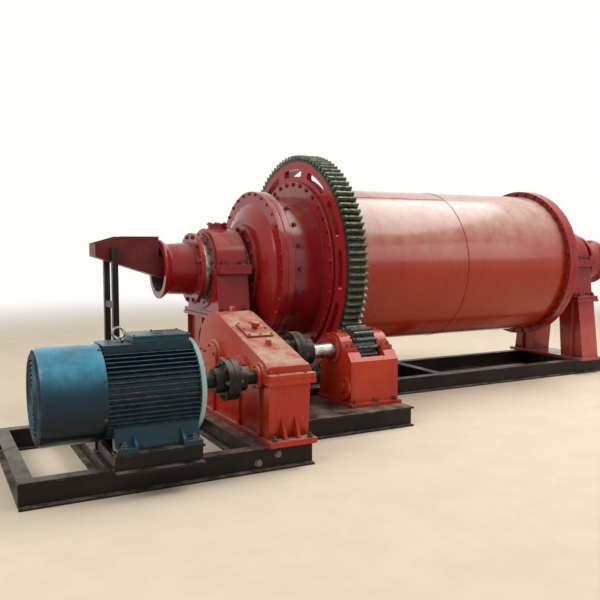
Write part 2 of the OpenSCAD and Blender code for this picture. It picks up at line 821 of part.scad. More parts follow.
// rolled shell with the gear's seat at one end and the discharge flange at the other
module drum_shell() {
    seat_x = gear_x0 + web_t;
    color(machine_red) turned_x([[drum_in, shell_x0], [drum_r, shell_x0], [drum_r, seat_x],
        [seat_r, seat_x], [seat_r, seat_x + seat_t], [drum_r, seat_x + seat_t],
        [drum_r, shell_x1 - flange_t], [rear_r, shell_x1 - flange_t], [rear_r, shell_x1],
        [drum_in, shell_x1]]);
}

module feed_barrel() {
    barrel_in = barrel_r - shell_wall;
    color(machine_red) turned_x([[barrel_in, barrel_x0], [feed_flange_r, barrel_x0],
        [feed_flange_r, barrel_x0 + flange_t], [barrel_r, barrel_x0 + flange_t],
        [barrel_r, barrel_x1], [barrel_foot_r, barrel_x1], [barrel_foot_r, shell_x0],
        [barrel_in, shell_x0]]);
}

// dished casting between the barrel and the feed trunnion
module feed_cover() {
    dish_r = feed_flange_r - 115;
    nose_r = tr_flange_r + 30;
    lead = 12;
    fall = 26;
    color(machine_red) turned_x([[bore_r, dish_x], [nose_r, dish_x], [nose_r + 30, dish_x + lead],
        [dish_r - 30, feed_cover_x - fall], [dish_r, feed_cover_x],
        [feed_flange_r, feed_cover_x], [feed_flange_r, barrel_x0], [dish_r - 20, barrel_x0],
        [nose_r, dish_x + cover_wall + lead], [bore_r, dish_x + cover_wall]]);
}

// hollow trunnion, from its bolting flange over the journal to its free end
module trunnion(x_flange, x_journal, x_end) {
    color(steel) turned_x([[bore_r, x_flange], [tr_flange_r, x_flange], [tr_flange_r, x_journal],
        [journal_r, x_journal], [journal_r, x_end], [bore_r, x_end]]);
}

// conical casting with radial ribs between the shell and the discharge trunnion
module discharge_cover() {
    cone_r = rear_r - 90;
    nose_r = tr_flange_r + 20;
    ribs = 12;
    rib_t = 24;
    color(machine_red) {
        turned_x([[bore_r, cone_x], [nose_r, cone_x], [cone_r, rear_x1], [rear_r, rear_x1],
            [rear_r, shell_x1], [cone_r - 40, shell_x1],
            [nose_r - 20, cone_x - cover_wall], [bore_r, cone_x - cover_wall]]);
        for (k = [0:ribs - 1]) translate([0, 0, axis_z]) rotate([(k + 0.5) * 360 / ribs, 0, 0])
            translate([0, rib_t / 2, 0]) rotate([90, 0, 0]) linear_extrude(height = rib_t)
                polygon([[rear_x1 - over, cone_r - 60], [rear_x1 - over, rear_r - 25],
                    [cone_x - 12, nose_r + 14], [cone_x - 12, nose_r - 30]]);
    }
}

// flanged pipe on a trunnion's end, flared at its mouth
module spout(x_end, dir) {
    x1 = x_end + dir * spout_flange_t;
    x2 = x1 + dir * spout_len;
    lip_r = spout_r + 26;
    color(machine_red) turned_x([[bore_r, x_end], [spout_flange_r, x_end], [spout_flange_r, x1],
        [spout_r, x1], [spout_r - 14, x2 - dir * 70], [lip_r, x2 - dir * 18], [lip_r, x2],
        [bore_r + 12, x2], [bore_r, x2 - dir * 60]]);
}

// one half of the girth gear: toothed rim, web with slots, hub ring, and the lugs
// behind the web that bolt it to the other half
module gear_half(side) {
    rim_in = gear_root - rim_t;
    hub_r = drum_r + 86;
    slots = 12;
    slot_mid = (rim_in + hub_r) / 2;
    slot_share = 0.295; // of the room between hub and rim
    slot_half = slot_share * (rim_in - hub_r);
    lug_share = 0.75; // of the room between the gear's seat and the rim
    lug_depth = lug_share * (rim_in - seat_r);
    lug_half = 44;
    lug_end = 14;
    sink = 6;
    color(gear_grey) intersection() {
        union() {
            difference() {
                slab_x(gear_x0, gear_x1) translate([0, axis_z]) rotate(mesh_angle)
                    polygon(gear_points(gear_teeth, gear_m, backlash, 2));
                rod_x(rim_in, gear_x0 + web_t, gear_x1 + over);
                rod_x(drum_r + oil_gap, gear_x0 - over, gear_x1 + over);
                for (k = [0:slots - 1]) translate([gear_x0 - over, 0, axis_z])
                    rotate([(k + 0.5) * 360 / slots + gear_split_tilt, 0, 0])
                        rotate([0, 90, 0]) slot_cutter(slot_mid, slot_half, web_t + 2 * over);
            }
            translate([0, 0, axis_z]) for (turn = [0, 180]) rotate([turn - gear_split_tilt, 0, 0])
                block([gear_x0 + web_t - sink, rim_in - lug_depth, -lug_half],
                    [gear_x1 - lug_end, rim_in + sink, lug_half]);
        }
        translate([gear_x0 - over, 0, axis_z]) rotate([-gear_split_tilt, 0, 0])
            translate([0, -gear_tip - over, side > 0 ? 0 : -gear_tip - over])
                cube([gear_w + 2 * over, 2 * (gear_tip + over), gear_tip + over]);
    }
}

// rounded slot, bent along a circle of radius r
module slot_cutter(r, half, h) {
    sweep = 9;
    for (s = [-1, 1]) rotate([0, 0, s * sweep]) translate([r, 0, 0]) cylinder(h = h, r = half);
    rotate([0, 0, -sweep]) rotate_extrude(angle = 2 * sweep) translate([r - half, 0])
        square([2 * half, h]);
}

// curved cover of the manhole, on the side away from the drive
module manhole_cover() {
    plate = 22;
    half_len = 230;
    half_h = 190;
    color(machine_red) intersection() {
        ring_x(drum_r + plate, drum_r, -half_len - over, half_len + over);
        block([-half_len, 0, axis_z - half_h], [half_len, drum_r + 2 * plate, axis_z + half_h]);
    }
}

// pinion shaft through the stand, and the reducer's output shaft
module pinion_shaft() {
    end_over = 26;
    in_case = 30;
    end_gap = 8;
    mid = (reducer_x1 + stand_x0) / 2;
    color(steel) {
        rod_x(shaft_r, mid + end_gap, stand_x1 + end_over, pinion_y, pinion_z);
        rod_x(output_r, reducer_x1 - in_case, mid - end_gap, pinion_y, pinion_z);
    }
}

// pinion, turned so that one of its tooth gaps faces a girth tooth
module pinion_gear() {
    color(gear_grey) difference() {
        slab_x(pinion_x0, pinion_x1) translate([pinion_y, pinion_z])
            rotate(mesh_angle + 180 + 180 / pinion_teeth)
                polygon(gear_points(pinion_teeth, gear_m, 0, 5));
        rod_x(shaft_r, pinion_x0 - over, pinion_x1 + over, pinion_y, pinion_z);
    }
}

// two flanged hubs, keyed on shafts of radius shaft_a and shaft_b that nearly meet
module coupling(x_mid, hub_len, hub_r, flange_r, shaft_a, shaft_b, y) {
    disc = 42;
    half_gap = 2;
    end_gap = 8;
    difference() {
        union() {
            rod_x(hub_r, x_mid - hub_len, x_mid + hub_len, y, drive_z);
            rod_x(flange_r, x_mid - disc, x_mid - half_gap, y, drive_z);
            rod_x(flange_r, x_mid + half_gap, x_mid + disc, y, drive_z);
        }
        rod_x(shaft_a, x_mid - hub_len - over, x_mid - end_gap, y, drive_z);
        rod_x(shaft_b, x_mid + end_gap, x_mid + hub_len + over, y, drive_z);
    }
}

module drive_coupling() {
    hub_len = 150;
    hub_r = output_r + 48;
    flange_r = output_r + 112;
    color(beam_black) coupling((reducer_x1 + stand_x0) / 2, hub_len, hub_r, flange_r, output_r,
        shaft_r, pinion_y);
}

// motor shaft, pin coupling and the reducer's input shaft
module motor_coupling() {
    mid = (motor_x1 + reducer_x0) / 2;
    in_case = 30;
    end_gap = 8;
    hub_len = 110;
    hub_r = input_r + 37;
    flange_r = 3 * input_r;
    color(steel) {
        rod_x(input_r, motor_x1 - in_case, mid - end_gap, drive_y, drive_z);
        rod_x(input_r, mid + end_gap, reducer_x0 + in_case, drive_y, drive_z);
    }
    color(beam_black) coupling(mid, hub_len, hub_r, flange_r, input_r, input_r, drive_y);
}

main_rail(-rail_y);  // main_rail_near
main_rail(rail_y);  // main_rail_far
cross_beams();
pedestal(feed_bearing_x0, feed_bearing_x1);  // feed_pedestal
pedestal(dis_bearing_x0, dis_bearing_x1);  // discharge_pedestal
bearing_base(feed_bearing_x0, feed_bearing_x1);  // feed_bearing_base
bearing_cap(feed_bearing_x0, feed_bearing_x1);  // feed_bearing_cap
bearing_base(dis_bearing_x0, dis_bearing_x1);  // discharge_bearing_base
bearing_cap(dis_bearing_x0, dis_bearing_x1);  // discharge_bearing_cap
drive_rail(front_rail_y);  // drive_rail_front
drive_rail(back_rail_y);  // drive_rail_back
drive_cross_beams();
pinion_skid();
motor_plinth();
motor_frame();
motor_fan_cowl();
motor_end_shield();
motor_terminal_box();
motor_lifting_eye();
reducer_lower_case();
reducer_upper_case();
reducer_bearing_covers();
reducer_inspection_cover();
pinion_pedestal();
pinion_cap(stand_x0);  // pinion_cap_feed
pinion_cap(stand_x1 - stand_wall);  // pinion_cap_discharge
pinion_bearing_covers();
feed_chute();
chute_stand();
drum_shell();
feed_barrel();
feed_cover();
trunnion(dish_x, feed_journal_x, feed_end_x);  // feed_trunnion
spout(feed_end_x, -1);  // feed_spout
discharge_cover();
trunnion(cone_x, dis_journal_x, dis_end_x);  // discharge_trunnion
spout(dis_end_x, 1);  // discharge_spout
gear_half(1);  // gear_upper_half
gear_half(-1);  // gear_lower_half
manhole_cover();
pinion_shaft();
pinion_gear();
drive_coupling();
motor_coupling();
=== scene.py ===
"""Looks of a wet grinding ball mill: red drum on trunnion bearings, greased girth gear, pinion
stand, reducer and blue motor on black beams. Metres, in the CAD frame: +X from the feed end to
the discharge end, the drive on the -Y side, +Z up."""

import json
import math
import random

import bmesh
import bpy
from mathutils import Matrix, Vector

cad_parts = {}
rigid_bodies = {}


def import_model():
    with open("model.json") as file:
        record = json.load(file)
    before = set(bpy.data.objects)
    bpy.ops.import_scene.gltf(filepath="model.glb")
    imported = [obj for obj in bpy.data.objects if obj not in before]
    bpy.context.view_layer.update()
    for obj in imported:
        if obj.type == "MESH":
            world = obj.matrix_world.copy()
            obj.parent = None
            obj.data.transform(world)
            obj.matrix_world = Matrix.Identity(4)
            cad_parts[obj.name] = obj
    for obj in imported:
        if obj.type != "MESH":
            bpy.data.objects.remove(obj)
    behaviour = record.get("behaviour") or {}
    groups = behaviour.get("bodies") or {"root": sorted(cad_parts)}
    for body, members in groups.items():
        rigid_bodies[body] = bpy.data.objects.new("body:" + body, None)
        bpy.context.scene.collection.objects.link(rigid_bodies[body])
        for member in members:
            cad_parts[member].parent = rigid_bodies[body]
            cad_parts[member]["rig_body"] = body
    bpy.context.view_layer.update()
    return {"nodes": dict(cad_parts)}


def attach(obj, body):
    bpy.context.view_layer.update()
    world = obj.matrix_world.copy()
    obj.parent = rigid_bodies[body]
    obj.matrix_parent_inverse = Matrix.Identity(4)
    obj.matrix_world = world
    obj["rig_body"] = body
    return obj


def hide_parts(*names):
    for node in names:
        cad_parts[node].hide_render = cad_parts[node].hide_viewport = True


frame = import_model()

# Main rails and cross beams: two rolled I-beams 160 mm high under the mill, tied by
# short beams of the same section. Sawn, welded at each crossing and painted dull black.
MILL_AXIS = Vector((0, 0, 1.264))
EDGE_SEGMENTS = 2
JOIN_WITHIN = 0.0002
FLAT_WITHIN = math.radians(0.7)
SHARP_CORNER = math.radians(28)
SMOOTH_CORNER = math.radians(42)
chance = random.Random(7)


def put(tree, kind, inputs=None, **settings):
    """Adds a shader node; an input that is a socket is wired, any other is a plain value."""
    made = tree.nodes.new(kind)
    for key, value in settings.items():
        setattr(made, key, value)
    for key, value in (inputs or {}).items():
        if isinstance(value, bpy.types.NodeSocket):
            tree.links.new(value, made.inputs[key])
        else:
            made.inputs[key].default_value = value
    return made


def effect(name, inputs, outputs):
    """A node group with named sockets, and its two end nodes."""
    tree = bpy.data.node_groups.new(name, "ShaderNodeTree")
    for label, kind, value in inputs:
        socket = tree.interface.new_socket(label, in_out="INPUT", socket_type=kind)
        socket.default_value = value
    for label, kind in outputs:
        tree.interface.new_socket(label, in_out="OUTPUT", socket_type=kind)
    return tree, put(tree, "NodeGroupInput"), put(tree, "NodeGroupOutput")


def maths(tree, operation, first, second=0.0, clamp=False):
    return put(tree, "ShaderNodeMath", {0: first, 1: second}, operation=operation,
               use_clamp=clamp).outputs[0]


def ramp(tree, value, low, high, start=0.0, end=1.0):
    """Smooth step of a value from low to high."""
    return put(tree, "ShaderNodeMapRange", {"Value": value, "From Min": low, "From Max": high,
               "To Min": start, "To Max": end}, interpolation_type="SMOOTHSTEP").outputs[0]


def blend_colour(tree, share, first, second):
    mixed = put(tree, "ShaderNodeMix", {"Factor": share, 6: first, 7: second}, data_type="RGBA")
    return mixed.outputs[2]


def blend_value(tree, share, first, second):
    mixed = put(tree, "ShaderNodeMix", {"Factor": share, 2: first, 3: second})
    return mixed.outputs[0]


def noise(tree, place, scale, detail=4.0, roughness=0.55):
    return put(tree, "ShaderNodeTexNoise", {"Vector": place, "Scale": scale, "Detail": detail,
               "Roughness": roughness}).outputs["Fac"]


def stretched(tree, place, scale):
    return put(tree, "ShaderNodeMapping", {"Vector": place, "Scale": scale}).outputs[0]


def own_place(tree):
    """A point's place on its own piece, which moves with it."""
    return put(tree, "ShaderNodeTexCoord").outputs["Object"]


def upward(tree):
    """How far a surface faces up: 1 on a top, 0 on a wall, -1 underneath."""
    normal = put(tree, "ShaderNodeNewGeometry").outputs["Normal"]
    return put(tree, "ShaderNodeSeparateXYZ", {0: normal}).outputs["Z"]


FLOAT, COLOUR = "NodeSocketFloat", "NodeSocketColor"

# Tone of a brushed or sprayed coat: broad cloudy patches and finer mottling of two colours.
tone_group, ends_in, ends_out = effect(
    "coat_tone", [("Colour", COLOUR, (1, 1, 1, 1)), ("Aged", COLOUR, (1, 1, 1, 1)),
                  ("Patch Size", FLOAT, 0.5)], [("Colour", COLOUR)])
where = own_place(tone_group)
broad = noise(tone_group, where, maths(tone_group, "DIVIDE", 1.0, ends_in.outputs["Patch Size"]), 6)
fine = noise(tone_group, where, 38, 5, 0.7)
share = maths(tone_group, "ADD", ramp(tone_group, broad, 0.34, 0.68, 0, 0.8),
              ramp(tone_group, fine, 0.45, 0.75, 0, 0.3), clamp=True)
toned = blend_colour(tone_group, share, ends_in.outputs["Colour"], ends_in.outputs["Aged"])
tone_group.links.new(toned, ends_out.inputs["Colour"])

# Dust that settles on whatever faces up, in uneven drifts.
dust_group, ends_in, ends_out = effect("settled_dust", [("Amount", FLOAT, 0.5)], [("Mask", FLOAT)])
where = own_place(dust_group)
facing = upward(dust_group)
drift = ramp(dust_group, noise(dust_group, where, 6, 7, 0.65), 0.3, 0.72)
up = ramp(dust_group, facing, 0.25, 0.97)
grains = ramp(dust_group, noise(dust_group, where, 160, 3, 0.8), 0.35, 0.65, 0.55, 1.0)
layer = maths(dust_group, "MULTIPLY", maths(dust_group, "MULTIPLY", up, drift), grains)
layer = maths(dust_group, "MULTIPLY", layer, ends_in.outputs["Amount"], clamp=True)
dust_group.links.new(layer, ends_out.inputs["Mask"])

# Corners where the coat has rubbed thin, found by comparing the rounded and the true normal.
wear_group, ends_in, ends_out = effect(
    "rubbed_edges", [("Width", FLOAT, 0.006), ("Amount", FLOAT, 0.5)], [("Mask", FLOAT)])
where = own_place(wear_group)
rounded = put(wear_group, "ShaderNodeBevel", {"Radius": ends_in.outputs["Width"]}, samples=4)
flat = put(wear_group, "ShaderNodeNewGeometry").outputs["Normal"]
agree = put(wear_group, "ShaderNodeVectorMath", {0: rounded.outputs[0], 1: flat},
            operation="DOT_PRODUCT").outputs["Value"]
turned_away = ramp(wear_group, maths(wear_group, "SUBTRACT", 1.0, agree), 0.01, 0.12)
broken = ramp(wear_group, noise(wear_group, where, 24, 6, 0.75), 0.47, 0.62)
rubbed = maths(wear_group, "MULTIPLY", turned_away, broken)
rubbed = maths(wear_group, "MULTIPLY", rubbed, ends_in.outputs["Amount"], clamp=True)
wear_group.links.new(rubbed, ends_out.inputs["Mask"])

# Painted shade and old dirt in corners, joints and round bolt heads, found by ambient occlusion.
grime_and_shade_group, ends_in, ends_out = effect(
    "corner_grime_and_shade", [("Reach", FLOAT, 0.05), ("Amount", FLOAT, 0.5)], [("Mask", FLOAT)])
where = own_place(grime_and_shade_group)
open_sky = put(grime_and_shade_group, "ShaderNodeAmbientOcclusion",
               {"Distance": ends_in.outputs["Reach"]}, samples=6).outputs["AO"]
darkened = ramp(grime_and_shade_group, maths(grime_and_shade_group, "SUBTRACT", 1.0, open_sky), 0.12, 0.75)
patchy = ramp(grime_and_shade_group, noise(grime_and_shade_group, where, 14, 6, 0.7), 0.3, 0.6, 0.35, 1.0)
darkened = maths(grime_and_shade_group, "MULTIPLY", maths(grime_and_shade_group, "MULTIPLY", darkened, patchy),
             ends_in.outputs["Amount"], clamp=True)
grime_and_shade_group.links.new(darkened, ends_out.inputs["Mask"])

# Marks that rain and oil leave as they run down upright faces.
run_group, ends_in, ends_out = effect("run_marks", [("Amount", FLOAT, 0.4)], [("Mask", FLOAT)])
where = own_place(run_group)
lines = noise(run_group, stretched(run_group, where, (26, 26, 1.6)), 1.0, 5, 0.6)
facing = upward(run_group)
upright = ramp(run_group, maths(run_group, "ABSOLUTE", facing), 0.9, 0.3)
marks = maths(run_group, "MULTIPLY", ramp(run_group, lines, 0.52, 0.7), upright)
marks = maths(run_group, "MULTIPLY", marks, ends_in.outputs["Amount"], clamp=True)
run_group.links.new(marks, ends_out.inputs["Mask"])

# Paint bleached by the sun where a round top faces the sky, laid on pale as a painted sheen.
chalk_and_sheen_group, ends_in, ends_out = effect(
    "chalked_top_and_painted_sheen", [("Amount", FLOAT, 0.5), ("Lowest", FLOAT, 0.3)], [("Mask", FLOAT)])
where = own_place(chalk_and_sheen_group)
facing = upward(chalk_and_sheen_group)
cloudy = maths(chalk_and_sheen_group, "MULTIPLY", noise(chalk_and_sheen_group, where, 1.6, 5, 0.6), 0.3)
bleached_and_sheen = ramp(chalk_and_sheen_group, maths(chalk_and_sheen_group, "ADD", facing, cloudy), ends_in.outputs["Lowest"],
                0.9)
spots = ramp(chalk_and_sheen_group, noise(chalk_and_sheen_group, where, 8, 6, 0.7), 0.36, 0.6, 0.66, 1.0)
bleached_and_sheen = maths(chalk_and_sheen_group, "MULTIPLY", bleached_and_sheen, spots)
streaks = ramp(chalk_and_sheen_group, noise(chalk_and_sheen_group, stretched(chalk_and_sheen_group, where, (7, 1.2, 1.2)), 1.0, 5,
               0.6), 0.3, 0.6, 0.7, 1.0)
bleached_and_sheen = maths(chalk_and_sheen_group, "MULTIPLY", maths(chalk_and_sheen_group, "MULTIPLY", bleached_and_sheen, streaks),
                 ends_in.outputs["Amount"], clamp=True)
chalk_and_sheen_group.links.new(bleached_and_sheen, ends_out.inputs["Mask"])

# Painted shade on the under side of round bodies, darker towards the bottom, in soft uneven edges.
underside_shade_group, ends_in, ends_out = effect("painted_underside_shade", [("Amount", FLOAT, 0.5)],
                                        [("Mask", FLOAT)])
where = own_place(underside_shade_group)
facing = upward(underside_shade_group)
cloudy = maths(underside_shade_group, "MULTIPLY", noise(underside_shade_group, where, 5, 5, 0.6), 0.35)
shaded_below = ramp(underside_shade_group, maths(underside_shade_group, "ADD", facing, cloudy), 0.3, -0.35)
shaded_below = maths(underside_shade_group, "MULTIPLY", shaded_below, ends_in.outputs["Amount"], clamp=True)
underside_shade_group.links.new(shaded_below, ends_out.inputs["Mask"])

# Height of a sprayed coat over plate: fine orange peel on long, shallow waves.
skin_group, ends_in, ends_out = effect(
    "coat_skin", [("Grain", FLOAT, 260.0), ("Waves", FLOAT, 0.5)], [("Height", FLOAT)])
where = own_place(skin_group)
peel = noise(skin_group, where, ends_in.outputs["Grain"], 2)
waves = maths(skin_group, "MULTIPLY", noise(skin_group, where, 5, 2), ends_in.outputs["Waves"])
skin_group.links.new(maths(skin_group, "ADD", maths(skin_group, "MULTIPLY", peel, 0.18), waves),
                     ends_out.inputs["Height"])


def grouped(tree, group, **values):
    """One of the shared effects, placed in a material with this material's own values."""
    used = put(tree, "ShaderNodeGroup", node_tree=group)
    for key, value in values.items():
        socket = used.inputs[key.replace("_", " ")]
        if isinstance(value, bpy.types.NodeSocket):
            tree.links.new(value, socket)
        else:
            socket.default_value = value
    return used.outputs[0]


def blank_material(name):
    """A new material and its empty node tree."""
    made = bpy.data.materials.new(name)
    made.use_nodes = True
    made.node_tree.nodes.clear()
    return made, made.node_tree


def show(tree, shader):
    """Makes a shader the surface of its material."""
    tree.links.new(shader.outputs[0], put(tree, "ShaderNodeOutputMaterial").inputs[0])


def paint(name, colour, aged, patch=0.5, rough=0.3, gloss=0.4, dust=0.4, wear=0.5, grime_and_shade=0.6,
          runs=0.3, under=(0.16, 0.13, 0.12, 1), dust_colour=(0.42, 0.35, 0.27, 1),
          grime_and_shade_colour=(0.018, 0.014, 0.012, 1), grain=260.0, waves=0.5, bump=0.0006,
          chalk_and_sheen=0.0, chalk_and_sheen_low=0.3, chalk_and_sheen_colour=(0.46, 0.34, 0.28, 1), underside_shade=0.0):
    """Painted steel: a toned coat with run marks, old dirt and painted shade in corners, rubbed
    edges and dust, and where asked for a bleached top with a painted sheen and painted shade
    underneath."""
    made, tree = blank_material(name)
    dust_mask = grouped(tree, dust_group, Amount=dust)
    wear_mask = grouped(tree, wear_group, Width=0.007, Amount=wear)
    grime_and_shade_mask = grouped(tree, grime_and_shade_group, Reach=0.06, Amount=grime_and_shade)
    run_mask = grouped(tree, run_group, Amount=runs)
    skin = grouped(tree, tone_group, Colour=colour, Aged=aged, Patch_Size=patch)
    skin = blend_colour(tree, run_mask, skin, tuple(c * 0.45 for c in aged[:3]) + (1,))
    # a pale painted sheen on round tops, with their sun bleaching
    if chalk_and_sheen:
        pale_and_sheen = grouped(tree, chalk_and_sheen_group, Amount=chalk_and_sheen, Lowest=chalk_and_sheen_low)
        skin = blend_colour(tree, pale_and_sheen, skin, chalk_and_sheen_colour)
    # painted shade darkening the under sides
    if underside_shade:
        underside_shade_mask = grouped(tree, underside_shade_group, Amount=underside_shade)
        skin = blend_colour(tree, underside_shade_mask, skin, tuple(c * 0.2 for c in colour[:3]) + (1,))
    # old dirt and painted shade in the corners
    skin = blend_colour(tree, grime_and_shade_mask, skin, grime_and_shade_colour)
    skin = blend_colour(tree, wear_mask, skin, under)
    skin = blend_colour(tree, dust_mask, skin, dust_colour)
    where = own_place(tree)
    smear = ramp(tree, noise(tree, where, 9, 6, 0.7), 0.35, 0.7, rough * 0.8, rough * 1.5)
    smear = blend_value(tree, grime_and_shade_mask, smear, 0.62)
    smear = blend_value(tree, wear_mask, smear, 0.5)
    smear = blend_value(tree, dust_mask, smear, 0.92)
    height = grouped(tree, skin_group, Grain=grain, Waves=waves)
    bumped = put(tree, "ShaderNodeBump", {"Height": height, "Strength": 1.0, "Distance": bump})
    shader = put(tree, "ShaderNodeBsdfPrincipled", {
        "Base Color": skin, "Roughness": smear, "Normal": bumped.outputs[0],
        "Coat Weight": maths(tree, "MULTIPLY", maths(tree, "SUBTRACT", 1.0, dust_mask), gloss),
        "Coat Roughness": 0.15, "Coat IOR": 1.4, "IOR": 1.25})
    show(tree, shader)
    return made


def finished(name, node, edge, slot, *coats, pick=None, edge_limit=SHARP_CORNER):
    """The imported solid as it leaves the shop, with its corners broken and its coat on.
    pick gives each face the number of its coat."""
    shape = bmesh.new()
    shape.from_mesh(frame["nodes"][node].data)
    bmesh.ops.remove_doubles(shape, verts=shape.verts, dist=JOIN_WITHIN)
    bmesh.ops.dissolve_limit(shape, angle_limit=FLAT_WITHIN, verts=shape.verts,
                             edges=shape.edges)
    corners = [e for e in shape.edges
               if len(e.link_faces) == 2 and e.calc_face_angle() > edge_limit]
    bmesh.ops.bevel(shape, geom=corners, offset=edge, segments=EDGE_SEGMENTS, profile=0.6,
                    affect="EDGES", clamp_overlap=True)
    made = piece(name, shape, frame["nodes"][node]["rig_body"], slot, *coats, pick=pick)
    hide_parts(node)
    return made


def piece(name, shape, body, slot, *coats, pick=None):
    """Turns the built shape into one named object that rides on its body."""
    if pick:
        for face in shape.faces:
            face.material_index = pick(face)
    mesh = bpy.data.meshes.new(name)
    shape.to_mesh(mesh)
    shape.free()
    for coat in coats:
        mesh.materials.append(coat)
    for face in mesh.polygons:
        face.use_smooth = True
    mesh.set_sharp_from_angle(angle=SMOOTH_CORNER)
    made = bpy.data.objects.new(name, mesh)
    bpy.context.scene.collection.objects.link(made)
    made.modifiers.new("flat_faces", "WEIGHTED_NORMAL").keep_sharp = True
    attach(made, body)
    return made


def beads(name, runs, radius, body, slot, coat):
    """Fillet welds: rough round beads laid along straight runs or closed loops of points."""
    shape = bmesh.new()
    sides = 7
    for points in runs:
        line = []
        for a, b in zip(points, points[1:]):
            a, b = Vector(a), Vector(b)
            steps = max(2, round((b - a).length / (radius * 2.2)))
            line += [a.lerp(b, k / steps) for k in range(steps)]
        line.append(Vector(points[-1]))
        rings = []
        for k, at in enumerate(line):
            along = (line[min(k + 1, len(line) - 1)] - line[max(k - 1, 0)]).normalized()
            across = along.orthogonal().normalized()
            thick = radius * (0.86 + 0.22 * chance.random() + (0.1 if k % 2 else 0))
            rings.append([shape.verts.new(at + Matrix.Rotation(j * math.tau / sides, 3, along)
                          @ across * thick) for j in range(sides)])
        for first, second in zip(rings, rings[1:]):
            for j in range(sides):
                shape.faces.new((first[j], first[j - 1], second[j - 1], second[j]))
        for cap in (rings[0], rings[-1]):
            shape.faces.new(cap)
    bmesh.ops.recalc_face_normals(shape, faces=shape.faces)
    return piece(name, shape, body, slot, coat)


beam_black = paint("beam_black", (0.007, 0.006, 0.006, 1), (0.026, 0.016, 0.012, 1), rough=0.36,
                   gloss=0.12, dust=0.7, wear=1.0, grime_and_shade=0.3, runs=0.35,
                   under=(0.24, 0.17, 0.12, 1), grain=180.0)
weld_black = paint("weld_black", (0.016, 0.015, 0.015, 1), (0.04, 0.03, 0.025, 1), rough=0.5,
                   gloss=0.1, dust=0.5, wear=0.6, grime_and_shade=0.5, grain=420.0, bump=0.0012)
for rail in ("main_rail_near", "main_rail_far"):
    finished(rail + "_beam", rail, 0.003, "frame_black", beam_black)
finished("cross_beam_set", "cross_beams", 0.003, "frame_black", beam_black)
RAIL_Y = 0.43
BEAM_TOP = 0.16
BEAM_HALF = 0.045
BEAM_WELD = 0.004
WELD_DIP = 0.003
WEB_FACE = 0.008
CROSS_BEAMS_X = (-3.251, -2.385, -2.165, 0, 1.95, 2.17)


def end_seam(x, y):
    """The weld across the top of a short beam's end, where it meets a rail."""
    height = BEAM_TOP - WELD_DIP
    return [(x - BEAM_HALF + BEAM_WELD, y, height), (x + BEAM_HALF - BEAM_WELD, y, height)]


seams = []
for x in CROSS_BEAMS_X:
    for side in (-1, 1):
        y = side * (RAIL_Y - BEAM_HALF)
        seams.append(end_seam(x, y))
        seams.append([(x + WEB_FACE, y, 0.02), (x + WEB_FACE, y, BEAM_TOP - 0.018)])
beads("cross_beam_welds", seams, BEAM_WELD, "base", "frame_black", weld_black)

# Drive rails, their ties and the pinion skid: the same beams, carried out on the drive
# side under the motor, the reducer and the pinion stand, with a plate on the skid.
for rail in ("drive_rail_front", "drive_rail_back"):
    finished(rail + "_beam", rail, 0.003, "frame_black", beam_black)
finished("drive_tie_beams", "drive_cross_beams", 0.003, "frame_black", beam_black)
finished("pinion_skid_frame", "pinion_skid", 0.003, "frame_black", beam_black)


def hexagon(shape, across, z0, z1, chamfer):
    """Hexagonal head between two heights, with its top corners turned off."""
    lower, upper, cap = [], [], []
    for k in range(6):
        turn = Vector((math.cos(k * math.tau / 6), math.sin(k * math.tau / 6), 0))
        reach = across / math.sqrt(3)
        lower.append(shape.verts.new(turn * reach + Vector((0, 0, z0))))
        upper.append(shape.verts.new(turn * reach + Vector((0, 0, z1 - chamfer))))
        cap.append(shape.verts.new(turn * (reach - chamfer * 1.5) + Vector((0, 0, z1))))
    for a, b in ((lower, upper), (upper, cap)):
        for k in range(6):
            shape.faces.new((a[k - 1], a[k], b[k], b[k - 1]))
    shape.faces.new(cap)


def disc(shape, radius, z0, z1, sides=16, chamfer=0.0008):
    """Round washer or stud end between two heights."""
    rings = [[shape.verts.new((r * math.cos(k * math.tau / sides),
              r * math.sin(k * math.tau / sides), z)) for k in range(sides)]
             for r, z in ((radius, z0), (radius, z1 - chamfer), (radius - chamfer, z1))]
    for a, b in zip(rings, rings[1:]):
        for k in range(sides):
            shape.faces.new((a[k - 1], a[k], b[k], b[k - 1]))
    shape.faces.new(rings[-1])


def fasteners(name, places, thread, body, slot, coat, stud=0.0):
    """Hex heads with washers at (point, direction) places, or nuts with their stud ends."""
    pattern = bmesh.new()
    across = thread * 1.5
    washer = thread * 0.16
    top = washer + thread * 0.66
    disc(pattern, thread * 1.02, -0.001, washer)
    hexagon(pattern, across, washer, top, thread * 0.08)
    if stud:
        disc(pattern, thread * 0.5, washer + thread * 0.6, top + stud, 12)
    mould = bpy.data.meshes.new(name + "_mould")
    pattern.to_mesh(mould)
    pattern.free()
    shape = bmesh.new()
    for at, way in places:
        way = Vector(way).normalized()
        spin = Matrix.Rotation(chance.random() * math.tau, 4, "Z")
        start = len(shape.verts)
        shape.from_mesh(mould)
        shape.verts.ensure_lookup_table()
        stand = way.to_track_quat("Z", "Y").to_matrix().to_4x4()
        bmesh.ops.transform(shape, matrix=Matrix.Translation(at) @ stand @ spin,
                            verts=shape.verts[start:])
    bpy.data.meshes.remove(mould)
    return piece(name, shape, body, slot, coat)


def circle(x, radius, count, way, centre=MILL_AXIS, first=0.0):
    """Places of bolts on a circle about an X axis, all pointing along way."""
    turns = [math.radians(first) + k * math.tau / count for k in range(count)]
    return [((x, centre[1] + radius * math.cos(a), centre[2] + radius * math.sin(a)), way)
            for a in turns]


